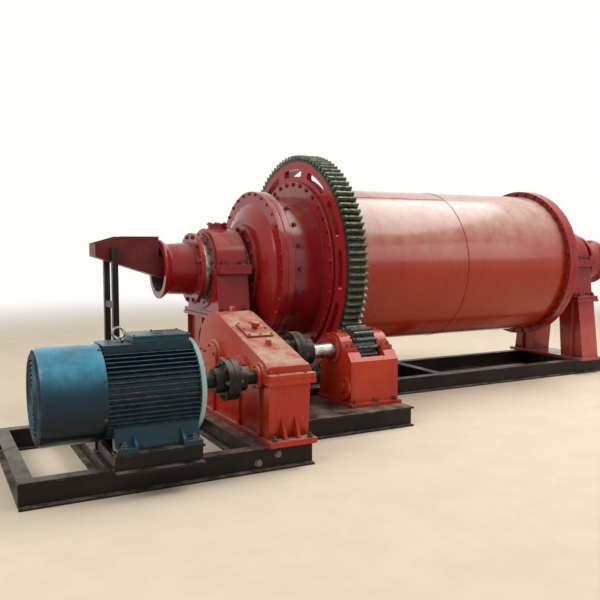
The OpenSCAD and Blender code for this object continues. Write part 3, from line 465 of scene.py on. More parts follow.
UP, TO_FEED, TO_DISCHARGE, TO_FRONT = (0, 0, 1), (-1, 0, 0), (1, 0, 0), (0, -1, 0)
dark_bolt = paint("dark_bolt", (0.03, 0.028, 0.027, 1), (0.09, 0.06, 0.045, 1), patch=0.06,
                  rough=0.42, gloss=0.1, dust=0.35, wear=0.9, grime_and_shade=0.5, runs=0.0,
                  under=(0.3, 0.28, 0.26, 1))


def dark_bolts(name, places, thread, body="base", stud=0.0):
    """Oiled black fasteners, as they hold the feet and the couplings."""
    return fasteners(name, places, thread, body, "frame_black", dark_bolt, stud)


DRIVE_TIES_X = (-4.217, -3.717, -3.277, -2.76)
DRIVE_TIES_Y = (-1.9385, -0.7565)
seams = [end_seam(x, y) for x in DRIVE_TIES_X for y in DRIVE_TIES_Y]
beads("drive_beam_welds", seams, BEAM_WELD, "base", "frame_black", weld_black)
rail_bolt = paint("rail_bolt", (0.16, 0.12, 0.08, 1), (0.26, 0.22, 0.17, 1), patch=0.05,
                  rough=0.4, gloss=0.1, dust=0.3, wear=0.9, grime_and_shade=0.5, runs=0.0,
                  under=(0.4, 0.38, 0.35, 1))
FRONT_WEB_Y = -1.9885
fasteners("front_rail_bolts", [((-2.78, FRONT_WEB_Y, 0.055), TO_FRONT),
          ((-2.64, FRONT_WEB_Y, 0.1), TO_FRONT)], 0.026, "base", "frame_black", rail_bolt)

# Pedestals: welded boxes of 30 mm plate that lift the main bearings to the drum's height,
# with ribs and an archway, painted red and bolted through the rails.
machine_red = paint("machine_red", (0.28, 0.008, 0.009, 1), (0.42, 0.07, 0.055, 1), patch=0.7,
                    rough=0.2, gloss=0.55, dust=0.4, wear=0.5, grime_and_shade=0.75, runs=0.4)
weld_red = paint("weld_red", (0.23, 0.007, 0.008, 1), (0.28, 0.018, 0.014, 1), patch=0.1,
                 rough=0.3, gloss=0.35, dust=0.3, wear=0.3, grime_and_shade=0.8, grain=420.0, bump=0.0012)
red_bolt = paint("red_bolt", (0.2, 0.008, 0.009, 1), (0.13, 0.014, 0.012, 1), patch=0.08,
                 rough=0.28, gloss=0.3, dust=0.25, wear=0.9, grime_and_shade=0.9, runs=0.0,
                 under=(0.27, 0.25, 0.23, 1))


def red_bolts(name, places, thread, body="drum", stud=0.0):
    """Fasteners painted over with the red parts that they hold."""
    return fasteners(name, places, thread, body, "machine_paint", red_bolt, stud)


FOOT_TOP = 0.19
FOOT_REACH = 0.524
ARCH_REACH = 0.212
HEAD_UNDER = 0.82
HEAD_REACH = 0.442
ANCHORS_Y = (0.415, 0.468)
RIB_EDGES_Y = (0.39, 0.37)
PLATE_WELD = 0.0045
BEARINGS_X = (("feed", (-2.435, -2.115)), ("discharge", (1.9, 2.22)))
for name, (x0, x1) in BEARINGS_X:
    finished(name + "_pedestal_box", name + "_pedestal", 0.004, "machine_paint", machine_red)
    anchors = []
    seams = []
    for x, way in ((x0 + 0.006, 1), (x1 - 0.006, -1)):
        for side in (-1, 1):
            for y in ANCHORS_Y:
                anchors.append(((x - way * 0.002, side * y, FOOT_TOP), UP))
    for x in (x0 + 0.034, x1 - 0.034):
        seams.append([(x, -FOOT_REACH, FOOT_TOP), (x, -ARCH_REACH, FOOT_TOP)])
        seams.append([(x, ARCH_REACH, FOOT_TOP), (x, FOOT_REACH, FOOT_TOP)])
        seams.append([(x, -HEAD_REACH, HEAD_UNDER), (x, HEAD_REACH, HEAD_UNDER)])
    for side in (-1, 1):
        foot_y = side * (FOOT_REACH + 0.002)
        head_y = side * (HEAD_REACH + 0.002)
        seams.append([(x0 + 0.036, foot_y, FOOT_TOP), (x1 - 0.036, foot_y, FOOT_TOP)])
        seams.append([(x0 + 0.036, head_y, HEAD_UNDER), (x1 - 0.036, head_y, HEAD_UNDER)])
        for x in (x0 + 0.032, x1 - 0.032):
            for edge in RIB_EDGES_Y:
                seams.append([(x, side * edge, FOOT_TOP + 0.004),
                              (x, side * edge, HEAD_UNDER - 0.004)])
    dark_bolts(name + "_anchor_bolts", anchors, 0.022, stud=0.014)
    beads(name + "_pedestal_welds", seams, PLATE_WELD, "base", "machine_paint", weld_red)

# Main bearings: cast iron housings split at the drum's axis, the cap held down by four
# studs, closed on both faces by bolted seal plates, with an oil lid on top.
casting_red = paint("casting_red", (0.24, 0.004, 0.007, 1), (0.3, 0.015, 0.013, 1), patch=0.45,
                    rough=0.2, gloss=0.45, dust=0.4, wear=0.6, grime_and_shade=0.8, runs=0.4, grain=85.0,
                    waves=0.7, bump=0.0017)
BEARING_FOOT = 0.886
FOOT_BOLT_Y = 0.436
SPLIT_TOP = 1.304
STUD_Y = 0.404
LID_TOP = 1.67
LID_CIRCLE = 0.08
SEAL_CIRCLE = 0.312
for name, (x0, x1) in BEARINGS_X:
    finished(name + "_bearing_seat", name + "_bearing_base", 0.006, "machine_paint", casting_red)
    finished(name + "_bearing_hood", name + "_bearing_cap", 0.006, "machine_paint", casting_red)
    mid = (x0 + x1) / 2
    holding = [((x, side * FOOT_BOLT_Y, BEARING_FOOT), UP)
               for x in (x0 + 0.06, x1 - 0.06) for side in (-1, 1)]
    studs = [((x, side * STUD_Y, SPLIT_TOP), UP)
             for x in (x0 + 0.075, x1 - 0.075) for side in (-1, 1)]
    lid = []
    for k in range(6):
        a = k * math.tau / 6
        lid.append(((mid + LID_CIRCLE * math.cos(a), LID_CIRCLE * math.sin(a), LID_TOP), UP))
    faces = (circle(x0, SEAL_CIRCLE, 16, TO_FEED, first=11.25) +
             circle(x1, SEAL_CIRCLE, 16, TO_DISCHARGE, first=11.25))
    red_bolts(name + "_bearing_studs", holding + studs, 0.03, "base", 0.018)
    red_bolts(name + "_bearing_screws", lid + faces, 0.012, "base")

# Drum shell: 40 mm of rolled plate and liner in two courses, welded round the middle and
# along each course, between the gear's seat and the discharge flange. Its gloss orange-red
# paint is bleached on top and laid on pale there as a painted sheen, with a little painted shade
# underneath.
drum_red = paint("drum_red", (0.34, 0.018, 0.002, 1), (0.37, 0.034, 0.006, 1), patch=0.9,
                 rough=0.2, gloss=0.6, dust=0.3, wear=0.4, grime_and_shade=0.7, runs=0.45,
                 dust_colour=(0.5, 0.42, 0.33, 1), waves=3.2, chalk_and_sheen=0.85, chalk_and_sheen_low=0.08,
                 underside_shade=0.12)
SHELL_R = 0.75


def face_reach(face):
    """The farthest that a face lies from the drum's axis."""
    return max(math.hypot(v.co.y, v.co.z - MILL_AXIS.z) for v in face.verts)


def shell_flanges(face):
    """The rings that stand proud of the rolled shell have the crimson of the castings."""
    return 1 if face_reach(face) > SHELL_R + 0.006 else 0


finished("drum_shell_plate", "drum_shell", 0.004, "machine_paint", drum_red, casting_red,
         pick=shell_flanges)


def ring_run(x, radius, a0=0.0, a1=360.0, steps=150):
    """Points along an arc about the drum's axis."""
    turn = [math.radians(a0 + (a1 - a0) * k / steps) for k in range(steps + 1)]
    return [(x, radius * math.cos(a), MILL_AXIS.z + radius * math.sin(a)) for a in turn]


COURSE_JOINT = 0.05
seams = [ring_run(COURSE_JOINT, SHELL_R), ring_run(-1.418, SHELL_R + 0.002),
         ring_run(1.379, SHELL_R)]
for x0, x1, a in ((-1.415, COURSE_JOINT, 118), (COURSE_JOINT, 1.377, 62)):
    at = ring_run(0, SHELL_R, a, a + 1)[0]
    seams.append([(x0, at[1], at[2]), (x1, at[1], at[2])])
beads("drum_seams", seams, 0.004, "drum", "machine_paint", weld_red)

# Girth gear: cast steel in two halves, toothed rim 185 mm wide on a slotted web, bolted
# to the shell. The web is painted crimson, the teeth are bare under dark, dusty grease.
gear_halves, tree = blank_material("gear_paint_and_grease")
where = own_place(tree)
from_axis = put(tree, "ShaderNodeVectorMath", {0: where, 1: (0, 0, MILL_AXIS.z)},
                operation="SUBTRACT").outputs[0]
from_axis = put(tree, "ShaderNodeVectorMath", {0: from_axis, 1: (0, 1, 1)},
                operation="MULTIPLY").outputs[0]
radius = put(tree, "ShaderNodeVectorMath", {0: from_axis}, operation="LENGTH").outputs["Value"]
creep = maths(tree, "MULTIPLY", maths(tree, "SUBTRACT", noise(tree, where, 11, 5, 0.7), 0.5), 0.05)
GREASE_FROM = 0.992
GREASE_FULL = 1.004
greased = ramp(tree, maths(tree, "ADD", radius, creep), GREASE_FROM, GREASE_FULL)
red = grouped(tree, tone_group, Colour=(0.33, 0.01, 0.016, 1), Aged=(0.27, 0.022, 0.016, 1),
              Patch_Size=0.4)
# old dirt and painted shade darken the web's corners
grime_and_shade_mask = grouped(tree, grime_and_shade_group, Reach=0.06, Amount=0.8)
red = blend_colour(tree, grime_and_shade_mask, red, (0.02, 0.014, 0.012, 1))
wear_mask = grouped(tree, wear_group, Width=0.007, Amount=0.5)
red = blend_colour(tree, wear_mask, red, (0.2, 0.17, 0.15, 1))
film = ramp(tree, noise(tree, where, 30, 7, 0.75), 0.42, 0.6)
teeth = blend_colour(tree, film, (0.16, 0.18, 0.115, 1), (0.046, 0.052, 0.034, 1))
TOOTH_MIDDLE = 1.045
TOOTH_ROOT = 1.018
roots = ramp(tree, radius, TOOTH_MIDDLE, TOOTH_ROOT)
teeth = blend_colour(tree, maths(tree, "MULTIPLY", roots, 0.8), teeth, (0.01, 0.01, 0.009, 1))
smear = blend_value(tree, film, 0.42, 0.22)
lumps = maths(tree, "MULTIPLY", noise(tree, where, 46, 5, 0.6), greased)
bumped = put(tree, "ShaderNodeBump", {"Height": lumps, "Strength": 1.0, "Distance": 0.004})
dust_mask = grouped(tree, dust_group, Amount=0.25)
skin = blend_colour(tree, greased, red, teeth)
skin = blend_colour(tree, dust_mask, skin, (0.36, 0.3, 0.24, 1))
shader = put(tree, "ShaderNodeBsdfPrincipled", {
    "Base Color": skin,
    "Roughness": blend_value(tree, greased, 0.24, smear),
    "Metallic": maths(tree, "MULTIPLY", maths(tree, "SUBTRACT", 1.0, film),
                      maths(tree, "MULTIPLY", greased, 0.6)),
    "Coat Weight": maths(tree, "MULTIPLY", maths(tree, "SUBTRACT", 1.0, greased), 0.3),
    "Coat Roughness": 0.15, "Coat IOR": 1.4, "IOR": 1.22, "Normal": bumped.outputs[0]})
show(tree, shader)
for half in ("upper", "lower"):
    finished("gear_%s_casting" % half, "gear_%s_half" % half, 0.0025, "gear_steel", gear_halves)
SPLIT_TILT = math.radians(-15)
LUG_R = 0.908
LUG_HALF = 0.044
WEB_FRONT = -1.53
WEB_BACK = -1.42
SEAT_CIRCLE = 0.785
lug_bolts = []
for turn in (SPLIT_TILT, SPLIT_TILT + math.pi):
    out = Vector((0, math.cos(turn), math.sin(turn)))
    side = Vector((0, -math.sin(turn), math.cos(turn)))
    for x in (WEB_BACK, -1.36):
        for way in (-1, 1):
            at = MILL_AXIS + out * LUG_R + side * way * LUG_HALF
            lug_bolts.append(((x, at.y, at.z), side * way))
fasteners("gear_joint_bolts", lug_bolts, 0.024, "drum", "gear_steel", dark_bolt, 0.012)
red_bolts("gear_seat_nuts", circle(WEB_BACK, SEAT_CIRCLE, 36, TO_DISCHARGE, first=5), 0.022,
          stud=0.012)

# Feed barrel: the short smaller course between the gear and the feed cover, flanged at
# both ends, with one row of liner bolts.
barrel_red = paint("barrel_red", (0.25, 0.006, 0.014, 1), (0.31, 0.018, 0.022, 1), patch=0.5,
                   rough=0.18, gloss=0.75, dust=0.35, wear=0.4, grime_and_shade=0.85, runs=0.35, waves=1.8)
finished("feed_barrel_plate", "feed_barrel", 0.005, "machine_paint", barrel_red)
red_bolts("gear_seat_bolts", circle(WEB_FRONT, SEAT_CIRCLE, 36, TO_FEED, first=5), 0.022)
BARREL_ENDS = (-1.836, -1.531)
BARREL_R = 0.666
LINER_ROW_X = -1.765
LINER_BOLTS = 20
LINER_SEAT_R = 0.6648
liner = []
for k in range(LINER_BOLTS):
    a = k * math.tau / LINER_BOLTS
    way = Vector((0, math.cos(a), math.sin(a)))
    liner.append((Vector((LINER_ROW_X, 0, 0)) + MILL_AXIS + way * LINER_SEAT_R, way))
red_bolts("liner_bolts", liner, 0.024, stud=0.012)
beads("barrel_seams", [ring_run(x, BARREL_R) for x in BARREL_ENDS], PLATE_WELD, "drum",
      "machine_paint", weld_red)

# Feed cover and trunnion: a dished steel casting bolted to the barrel, carrying the hollow
# trunnion whose ground journal runs in the bearing.
turned_steel, tree = blank_material("turned_steel")
where = own_place(tree)
tool_marks = noise(tree, stretched(tree, where, (900, 3, 3)), 1.0, 3)
oil = ramp(tree, noise(tree, where, 12, 6, 0.7), 0.4, 0.65)
# old dirt and painted shade darken the corners round the journals
grime_and_shade_mask = grouped(tree, grime_and_shade_group, Reach=0.04, Amount=0.8)
skin = blend_colour(tree, oil, (0.5, 0.49, 0.47, 1), (0.22, 0.18, 0.14, 1))
skin = blend_colour(tree, grime_and_shade_mask, skin, (0.03, 0.025, 0.02, 1))
bumped = put(tree, "ShaderNodeBump", {"Height": tool_marks, "Strength": 0.6, "Distance": 0.0004})
shader = put(tree, "ShaderNodeBsdfPrincipled", {
    "Base Color": skin, "Roughness": blend_value(tree, oil, 0.34, 0.2),
    "Metallic": 0.9, "Normal": bumped.outputs[0]})
show(tree, shader)
JOURNAL_REACH = 0.275
TRUNNION_CIRCLE = 0.352


def painted_flange(face):
    """Paint on the faces of the bolting flange, bare steel on the journal."""
    return 1 if face_reach(face) > JOURNAL_REACH else 0


finished("feed_cover_casting", "feed_cover", 0.006, "machine_paint", casting_red)
finished("feed_trunnion_journal", "feed_trunnion", 0.004, "bare_steel", turned_steel, casting_red,
         pick=painted_flange)
COVER_FRONT, COVER_BACK = -1.955, -1.835
red_bolts("feed_cover_bolts", circle(COVER_FRONT, 0.682, 32, TO_FEED) +
          circle(COVER_BACK, 0.685, 32, TO_DISCHARGE), 0.016)
red_bolts("feed_trunnion_bolts", circle(-2.075, TRUNNION_CIRCLE, 16, TO_FEED), 0.024)

# Discharge cover and trunnion: a conical casting with twelve ribs, bolted all round to the
# shell's flange, with the same trunnion and bearing as the feed end.
finished("discharge_cover_casting", "discharge_cover", 0.005, "machine_paint", casting_red)
finished("discharge_trunnion_journal", "discharge_trunnion", 0.004, "bare_steel", turned_steel,
         casting_red, pick=painted_flange)
FLANGE_FRONT, FLANGE_BACK = 1.38, 1.5
FLANGE_CIRCLE = 0.781
red_bolts("shell_flange_bolts", circle(FLANGE_FRONT, FLANGE_CIRCLE, 36, TO_FEED), 0.022)
red_bolts("shell_flange_nuts", circle(FLANGE_BACK, FLANGE_CIRCLE, 36, TO_DISCHARGE), 0.022,
          stud=0.012)
red_bolts("discharge_trunnion_bolts", circle(1.76, TRUNNION_CIRCLE, 16, TO_DISCHARGE), 0.024)

# Spouts: flanged pipes on the trunnions' ends, flared at the mouth and worn bright inside
# where the ore slides.
spout_lining, tree = blank_material("worn_lining")
where = own_place(tree)
slid = noise(tree, stretched(tree, where, (1.2, 16, 16)), 1.0, 6, 0.7)
worn = ramp(tree, slid, 0.42, 0.62)
skin = blend_colour(tree, worn, (0.035, 0.028, 0.024, 1), (0.16, 0.14, 0.12, 1))
bumped = put(tree, "ShaderNodeBump", {"Height": slid, "Strength": 1.0, "Distance": 0.003})
shader = put(tree, "ShaderNodeBsdfPrincipled", {
    "Base Color": skin, "Roughness": blend_value(tree, worn, 0.75, 0.4),
    "Metallic": maths(tree, "MULTIPLY", worn, 0.6), "Normal": bumped.outputs[0]})
show(tree, shader)
LINING_REACH = 0.204
SPOUT_CIRCLE = 0.29


def lined_bore(face):
    """Worn lining inside the pipe, paint outside it."""
    return 1 if face_reach(face) < LINING_REACH else 0


for end in ("feed", "discharge"):
    finished(end + "_spout_pipe", end + "_spout", 0.006, "machine_paint", casting_red,
             spout_lining, pick=lined_bore)
red_bolts("spout_bolts", circle(-2.541, SPOUT_CIRCLE, 12, TO_FEED, first=15) +
          circle(2.326, SPOUT_CIRCLE, 12, TO_DISCHARGE, first=15), 0.02)

# Manhole: a curved cover plate over the drum's opening on the side away from the drive,
# held by bolts round its edge, with two handles of bent bar.
finished("manhole_plate", "manhole_cover", 0.003, "machine_paint", drum_red)
COVER_R = 0.772
BOLTS_X = 0.205
BOLTS_Z = 0.165
edge_spots = [(x, z) for x in (-BOLTS_X, -0.1, 0, 0.1, BOLTS_X) for z in (-BOLTS_Z, BOLTS_Z)]
edge_spots += [(x, z) for x in (-BOLTS_X, BOLTS_X) for z in (-0.08, 0.0, 0.08)]
cover_bolts = []
for x, height in edge_spots:
    way = Vector((0, math.sqrt(COVER_R ** 2 - height ** 2), height)).normalized()
    cover_bolts.append((Vector((x, 0, 0)) + MILL_AXIS + way * COVER_R, way))
red_bolts("manhole_bolts", cover_bolts, 0.016)
handles = bmesh.new()
BAR = 0.007
BAR_SIDES = 8
GRIPS_X = (-0.09, 0.09)
GRIP_HALF = 0.06
GRIP_RISE = 0.034
FOOT_DEPTH = 0.01
grip_path = [(0, -FOOT_DEPTH)]
for k in range(9):
    bend = math.pi * k / 8
    grip_path.append((bend, 0.004 + GRIP_RISE * math.sin(bend)))
grip_path.append((math.pi, -FOOT_DEPTH))
for x in GRIPS_X:
    rings = []
    for bend, rise in grip_path:
        at = Vector((x, COVER_R + rise, MILL_AXIS.z + GRIP_HALF * math.cos(bend)))
        ring = []
        for j in range(BAR_SIDES):
            a = j * math.tau / BAR_SIDES
            ring.append(handles.verts.new(at + BAR * Vector((
                math.cos(a), math.sin(a) * math.sin(bend), math.sin(a) * math.cos(bend)))))
        rings.append(ring)
    for first, second in zip(rings, rings[1:]):
        for j in range(BAR_SIDES):
            handles.faces.new((second[j], second[j - 1], first[j - 1], first[j]))
    for end in (rings[0], rings[-1]):
        handles.faces.new(end)
bmesh.ops.recalc_face_normals(handles, faces=handles.faces)
piece("manhole_handles", handles, "drum", "machine_paint", red_bolt)

# Pinion stand: a cast box with two bearing walls, in a livelier orange-red than the mill,
# whose caps hold the pinion shaft; a round cover closes the hole in its end wall.
pinion_orange = paint("pinion_orange", (0.52, 0.042, 0.01, 1), (0.4, 0.024, 0.01, 1), patch=0.35,
                      rough=0.2, gloss=0.45, dust=0.4, wear=0.6, grime_and_shade=0.75, runs=0.35)
orange_bolt = paint("orange_bolt", (0.4, 0.035, 0.012, 1), (0.2, 0.022, 0.012, 1), patch=0.06,
                    rough=0.34, gloss=0.3, dust=0.3, wear=0.9, grime_and_shade=0.8, runs=0.0,
                    under=(0.3, 0.27, 0.24, 1))
finished("pinion_stand", "pinion_pedestal", 0.006, "pinion_paint", pinion_orange)
finished("pinion_bearing_cap_feed", "pinion_cap_feed", 0.005, "pinion_paint", pinion_orange)
finished("pinion_bearing_cap_discharge", "pinion_cap_discharge", 0.005, "pinion_paint",
         pinion_orange)
SHAFT_Z = 0.6
PINION_AXIS = Vector((0, -1.0115, SHAFT_Z))
STAND_X = (-1.636, -1.179)
STAND_WALL = 0.112
STAND_FRONT = -1.2995
CAP_TOP = 0.636
SEAL_FACE = 0.014
SEAL_SCREWS = 0.1
CAP_STUDS_Y = (PINION_AXIS.y - 0.175, PINION_AXIS.y + 0.158)
HOLE_COVER = (0, STAND_FRONT + 0.1, 0.31)
cap_bolts = []
for x0 in (STAND_X[0], STAND_X[1] - STAND_WALL):
    for x in (x0 + 0.03, x0 + STAND_WALL - 0.03):
        for y in CAP_STUDS_Y:
            cap_bolts.append(((x, y, CAP_TOP), UP))
fasteners("pinion_cap_nuts", cap_bolts, 0.02, "base", "pinion_paint", orange_bolt, 0.016)
foot_bolts = [((x, STAND_FRONT - 0.02, FOOT_TOP), UP) for x in (-1.6, -1.41, -1.22)]
dark_bolts("pinion_stand_bolts", foot_bolts, 0.018, stud=0.012)
fasteners("pinion_stand_cover_screws",
          circle(STAND_X[0] - 0.022, 0.078, 6, TO_FEED, centre=HOLE_COVER), 0.01, "base",
          "pinion_paint", orange_bolt)
finished("pinion_seal_plates", "pinion_bearing_covers", 0.002, "pinion_paint", pinion_orange)
fasteners("pinion_seal_screws",
          circle(STAND_X[0] - SEAL_FACE, SEAL_SCREWS, 8, TO_FEED, centre=PINION_AXIS, first=22.5) +
          circle(STAND_X[1] + SEAL_FACE, SEAL_SCREWS, 8, TO_DISCHARGE, centre=PINION_AXIS,
                 first=22.5), 0.01, "base", "pinion_paint", orange_bolt)

# Pinion and its shaft: forged steel, seventeen wide teeth black with gear grease, on a
# turned shaft that runs in the stand's two walls.
greased_pinion, tree = blank_material("pinion_grease")
where = own_place(tree)
film = ramp(tree, noise(tree, where, 34, 7, 0.75), 0.4, 0.62)
skin = blend_colour(tree, film, (0.12, 0.125, 0.11, 1), (0.012, 0.012, 0.01, 1))
bumped = put(tree, "ShaderNodeBump", {"Height": noise(tree, where, 60, 5, 0.6), "Strength": 1.0,
             "Distance": 0.004})
shader = put(tree, "ShaderNodeBsdfPrincipled", {
    "Base Color": skin, "Roughness": blend_value(tree, film, 0.4, 0.2),
    "Metallic": maths(tree, "MULTIPLY", maths(tree, "SUBTRACT", 1.0, film), 0.7),
    "Normal": bumped.outputs[0]})
show(tree, shader)
finished("pinion_teeth", "pinion_gear", 0.002, "gear_steel", greased_pinion)
finished("pinion_shaft_bar", "pinion_shaft", 0.003, "bare_steel", turned_steel)

# Drive couplings: pairs of cast flanged hubs keyed on the shafts, their flanges joined by
# pins in rubber bushes.
finished("drive_coupling_hubs", "drive_coupling", 0.004, "frame_black", beam_black)
REDUCER_X = (-2.7, -2.4)
MOTOR_END = -3.165
DRIVE_Y = -1.8535
MOTOR_AXIS = Vector((0, DRIVE_Y, SHAFT_Z))
HUB_FLANGE = 0.042
DRIVE_PINS = 0.14
MOTOR_PINS = 0.108
mid = (REDUCER_X[1] + STAND_X[0]) / 2
dark_bolts("drive_coupling_pins",
           circle(mid - HUB_FLANGE, DRIVE_PINS, 8, TO_FEED, centre=PINION_AXIS) +
           circle(mid + HUB_FLANGE, DRIVE_PINS, 8, TO_DISCHARGE, centre=PINION_AXIS), 0.02,
           "pinion", 0.01)
finished("motor_coupling_hubs", "motor_coupling", 0.003, "frame_black", beam_black)
mid = (MOTOR_END + REDUCER_X[0]) / 2
dark_bolts("motor_coupling_pins",
           circle(mid - HUB_FLANGE, MOTOR_PINS, 8, TO_FEED, centre=MOTOR_AXIS) +
           circle(mid + HUB_FLANGE, MOTOR_PINS, 8, TO_DISCHARGE, centre=MOTOR_AXIS), 0.016,
           "motor_rotor", 0.008)

# Reducer: a cast case split at its shafts, the cover falling in one slope from the large
# wheel to the input end. Bolted flanges, round bearing covers, a lid with a breather.
# Its thick pale dust on the sloping cover is real dust and partly a painted highlight.
reducer_red = paint("reducer_red", (0.43, 0.022, 0.008, 1), (0.48, 0.045, 0.016, 1), patch=0.4,
                    rough=0.2, gloss=0.38, dust=1.2, wear=0.5, grime_and_shade=0.75, runs=0.4,
                    dust_colour=(0.5, 0.45, 0.32, 1))
finished("reducer_case", "reducer_lower_case", 0.005, "machine_paint", reducer_red)
finished("reducer_hood", "reducer_upper_case", 0.005, "machine_paint", reducer_red)
finished("reducer_shaft_covers", "reducer_bearing_covers", 0.003, "machine_paint", reducer_red)
finished("reducer_lid", "reducer_inspection_cover", 0.003, "machine_paint", reducer_red)
REDUCER_FRONT = -2.0035
REDUCER_BACK = -0.6295
REDUCER_FOOT = 0.196
FLANGE_TOP = 0.634
FLANGE_BOLTS_Y = (-1.985, -1.7, -1.6, -1.4, -1.28, -0.8, -0.69)
flange_spots = []
for x in (REDUCER_X[0] - 0.011, REDUCER_X[1] + 0.011):
    for y in FLANGE_BOLTS_Y:
        flange_spots.append(((x, y, FLANGE_TOP), UP))
for x in (REDUCER_X[0] + 0.05, REDUCER_X[1] - 0.05):
    flange_spots.append(((x, REDUCER_FRONT - 0.024, FLANGE_TOP), UP))
    flange_spots.append(((x, REDUCER_BACK + 0.02, FLANGE_TOP), UP))
red_bolts("reducer_flange_bolts", flange_spots, 0.012, "base")
base_spots = [((x, y, REDUCER_FOOT), UP) for x in (REDUCER_X[0] + 0.02, REDUCER_X[1] - 0.02)
              for y in (REDUCER_FRONT - 0.03, REDUCER_BACK + 0.015)]
dark_bolts("reducer_foot_bolts", base_spots, 0.022, stud=0.014)
COVER_FACE = 0.046
COVER_CIRCLES = ((PINION_AXIS.y, 0.108), (MOTOR_AXIS.y, 0.069), (MOTOR_AXIS.y + 0.34, 0.074))
cover_spots = []
for x, way in ((REDUCER_X[0] - COVER_FACE, TO_FEED), (REDUCER_X[1] + COVER_FACE, TO_DISCHARGE)):
    for y, r in COVER_CIRCLES:
        cover_spots += circle(x, r, 6, way, centre=(0, y, SHAFT_Z), first=30)
red_bolts("reducer_cover_screws", cover_spots, 0.01, "base")
CASE_R = 0.362
INPUT_R = 0.118
SHAFT_SPAN = 0.842
LID_FROM_INPUT = 0.43
LID_THICK = 0.018
LID_SCREW_X = 0.085
LID_SCREW_Y = 0.105
slope = math.asin((CASE_R - INPUT_R) / SHAFT_SPAN)
lid_middle = Vector((-2.55, MOTOR_AXIS.y + LID_FROM_INPUT,
                     SHAFT_Z + INPUT_R / math.cos(slope) + LID_FROM_INPUT * math.tan(slope)))
lid_up = Vector((0, -math.sin(slope), math.cos(slope)))
lid_along = Vector((0, math.cos(slope), math.sin(slope)))
lid_spots = []
for dx in (-LID_SCREW_X, 0, LID_SCREW_X):
    for dy in (-LID_SCREW_Y, LID_SCREW_Y):
        at = lid_middle + Vector((dx, 0, 0)) + lid_along * dy + lid_up * LID_THICK
        lid_spots.append((at, lid_up))
for dx in (-LID_SCREW_X, LID_SCREW_X):
    lid_spots.append((lid_middle + Vector((dx, 0, 0)) + lid_up * LID_THICK, lid_up))
red_bolts("reducer_lid_screws", lid_spots, 0.01, "base")

# Motor: ribbed cast frame on a welded plinth, pressed fan cowl with its grille behind, end
# shield in front, a flat terminal box and a lifting eye on top. Blue gloss paint, with a painted
# highlight along the round tops and painted shade on the under sides.
# navy body: a painted highlight along the top of the ribs and painted shade below
motor_navy = paint("motor_navy", (0.002, 0.024, 0.042, 1), (0.004, 0.036, 0.056, 1), patch=0.4,
                   rough=0.25, gloss=0.35, dust=0.2, wear=0.35, grime_and_shade=0.6, runs=0.2, underside_shade=0.6,
                   under=(0.3, 0.32, 0.32, 1), chalk_and_sheen=0.7, chalk_and_sheen_low=0.35,
                   chalk_and_sheen_colour=(0.015, 0.1, 0.18, 1))
# cowl: a bright painted highlight on its top and deep painted shade underneath
cowl_blue = paint("cowl_blue", (0.001, 0.024, 0.052, 1), (0.001, 0.034, 0.064, 1), patch=0.5,
                  rough=0.2, gloss=0.35, dust=0.1, wear=0.3, grime_and_shade=0.6, runs=0.35, waves=1.6,
                  chalk_and_sheen=0.8, chalk_and_sheen_colour=(0.07, 0.35, 0.5, 1), underside_shade=0.9,
                  under=(0.06, 0.1, 0.12, 1))
# The end shield's pale mint stands in for the bright highlight along its rim: a painted highlight.
shield_pale_highlight = paint("shield_pale_highlight", (0.2, 0.4, 0.4, 1), (0.3, 0.48, 0.46, 1), patch=0.3,
                    rough=0.3, gloss=0.45, dust=0.4, wear=0.7, grime_and_shade=0.5, runs=0.2,
                    under=(0.35, 0.36, 0.35, 1))
grille_blue = paint("grille_blue", (0.001, 0.014, 0.026, 1), (0.002, 0.02, 0.034, 1), patch=0.2,
                    rough=0.62, gloss=0.0, dust=0.0, wear=0.12, grime_and_shade=0.9, runs=0.0,
                    under=(0.06, 0.1, 0.12, 1))
box_teal = paint("box_teal", (0.003, 0.05, 0.075, 1), (0.006, 0.07, 0.095, 1), patch=0.3,
                 rough=0.25, gloss=0.5, dust=0.3, wear=0.6, grime_and_shade=0.5, runs=0.2,
                 under=(0.16, 0.2, 0.2, 1))
finished("motor_stand", "motor_plinth", 0.003, "frame_black", beam_black)
finished("motor_housing", "motor_frame", 0.002, "motor_paint", motor_navy)


def grille_end(face):
    """Dark, dull paint on the slotted end of the cowl, gloss paint round it."""
    return 1 if face.normal.x < -0.9 else 0


finished("motor_cowl", "motor_fan_cowl", 0.0015, "motor_paint", cowl_blue, grille_blue,
         pick=grille_end)
finished("motor_front_shield", "motor_end_shield", 0.004, "motor_paint", shield_pale_highlight)
finished("motor_box", "motor_terminal_box", 0.004, "motor_paint", box_teal)
finished("motor_eye", "motor_lifting_eye", 0.002, "bare_steel", turned_steel,
         edge_limit=math.radians(60))
MOTOR_FEET_X = (-3.692, -3.266)
MOTOR_FOOT_TOP = 0.315
FOOT_BOLTS = 0.281
foot_spots = [((x, DRIVE_Y + side * FOOT_BOLTS, MOTOR_FOOT_TOP), UP)
              for x in MOTOR_FEET_X for side in (-1, 1)]
dark_bolts("motor_foot_bolts", foot_spots, 0.022, stud=0.014)
COWL_JOINT = -3.79
COWL_SURFACE = 0.2915
cowl_screws = []
for k in range(8):
    a = math.radians(22.5) + k * math.tau / 8
    way = Vector((0, math.cos(a), math.sin(a)))
    cowl_screws.append((Vector((COWL_JOINT, DRIVE_Y, SHAFT_Z)) + way * COWL_SURFACE, way))
fasteners("motor_cowl_screws", cowl_screws, 0.009, "base", "motor_paint", dark_bolt)
BOX_TOP = 0.94
BOX_SCREWS_X = (-3.58, -3.41, -3.244)
BOX_SCREWS_Y = 0.113
box_screws = [((x, DRIVE_Y + side * BOX_SCREWS_Y, BOX_TOP), UP)
              for x in BOX_SCREWS_X for side in (-1, 1)]
fasteners("motor_box_screws", box_screws, 0.008, "base", "motor_paint", dark_bolt)
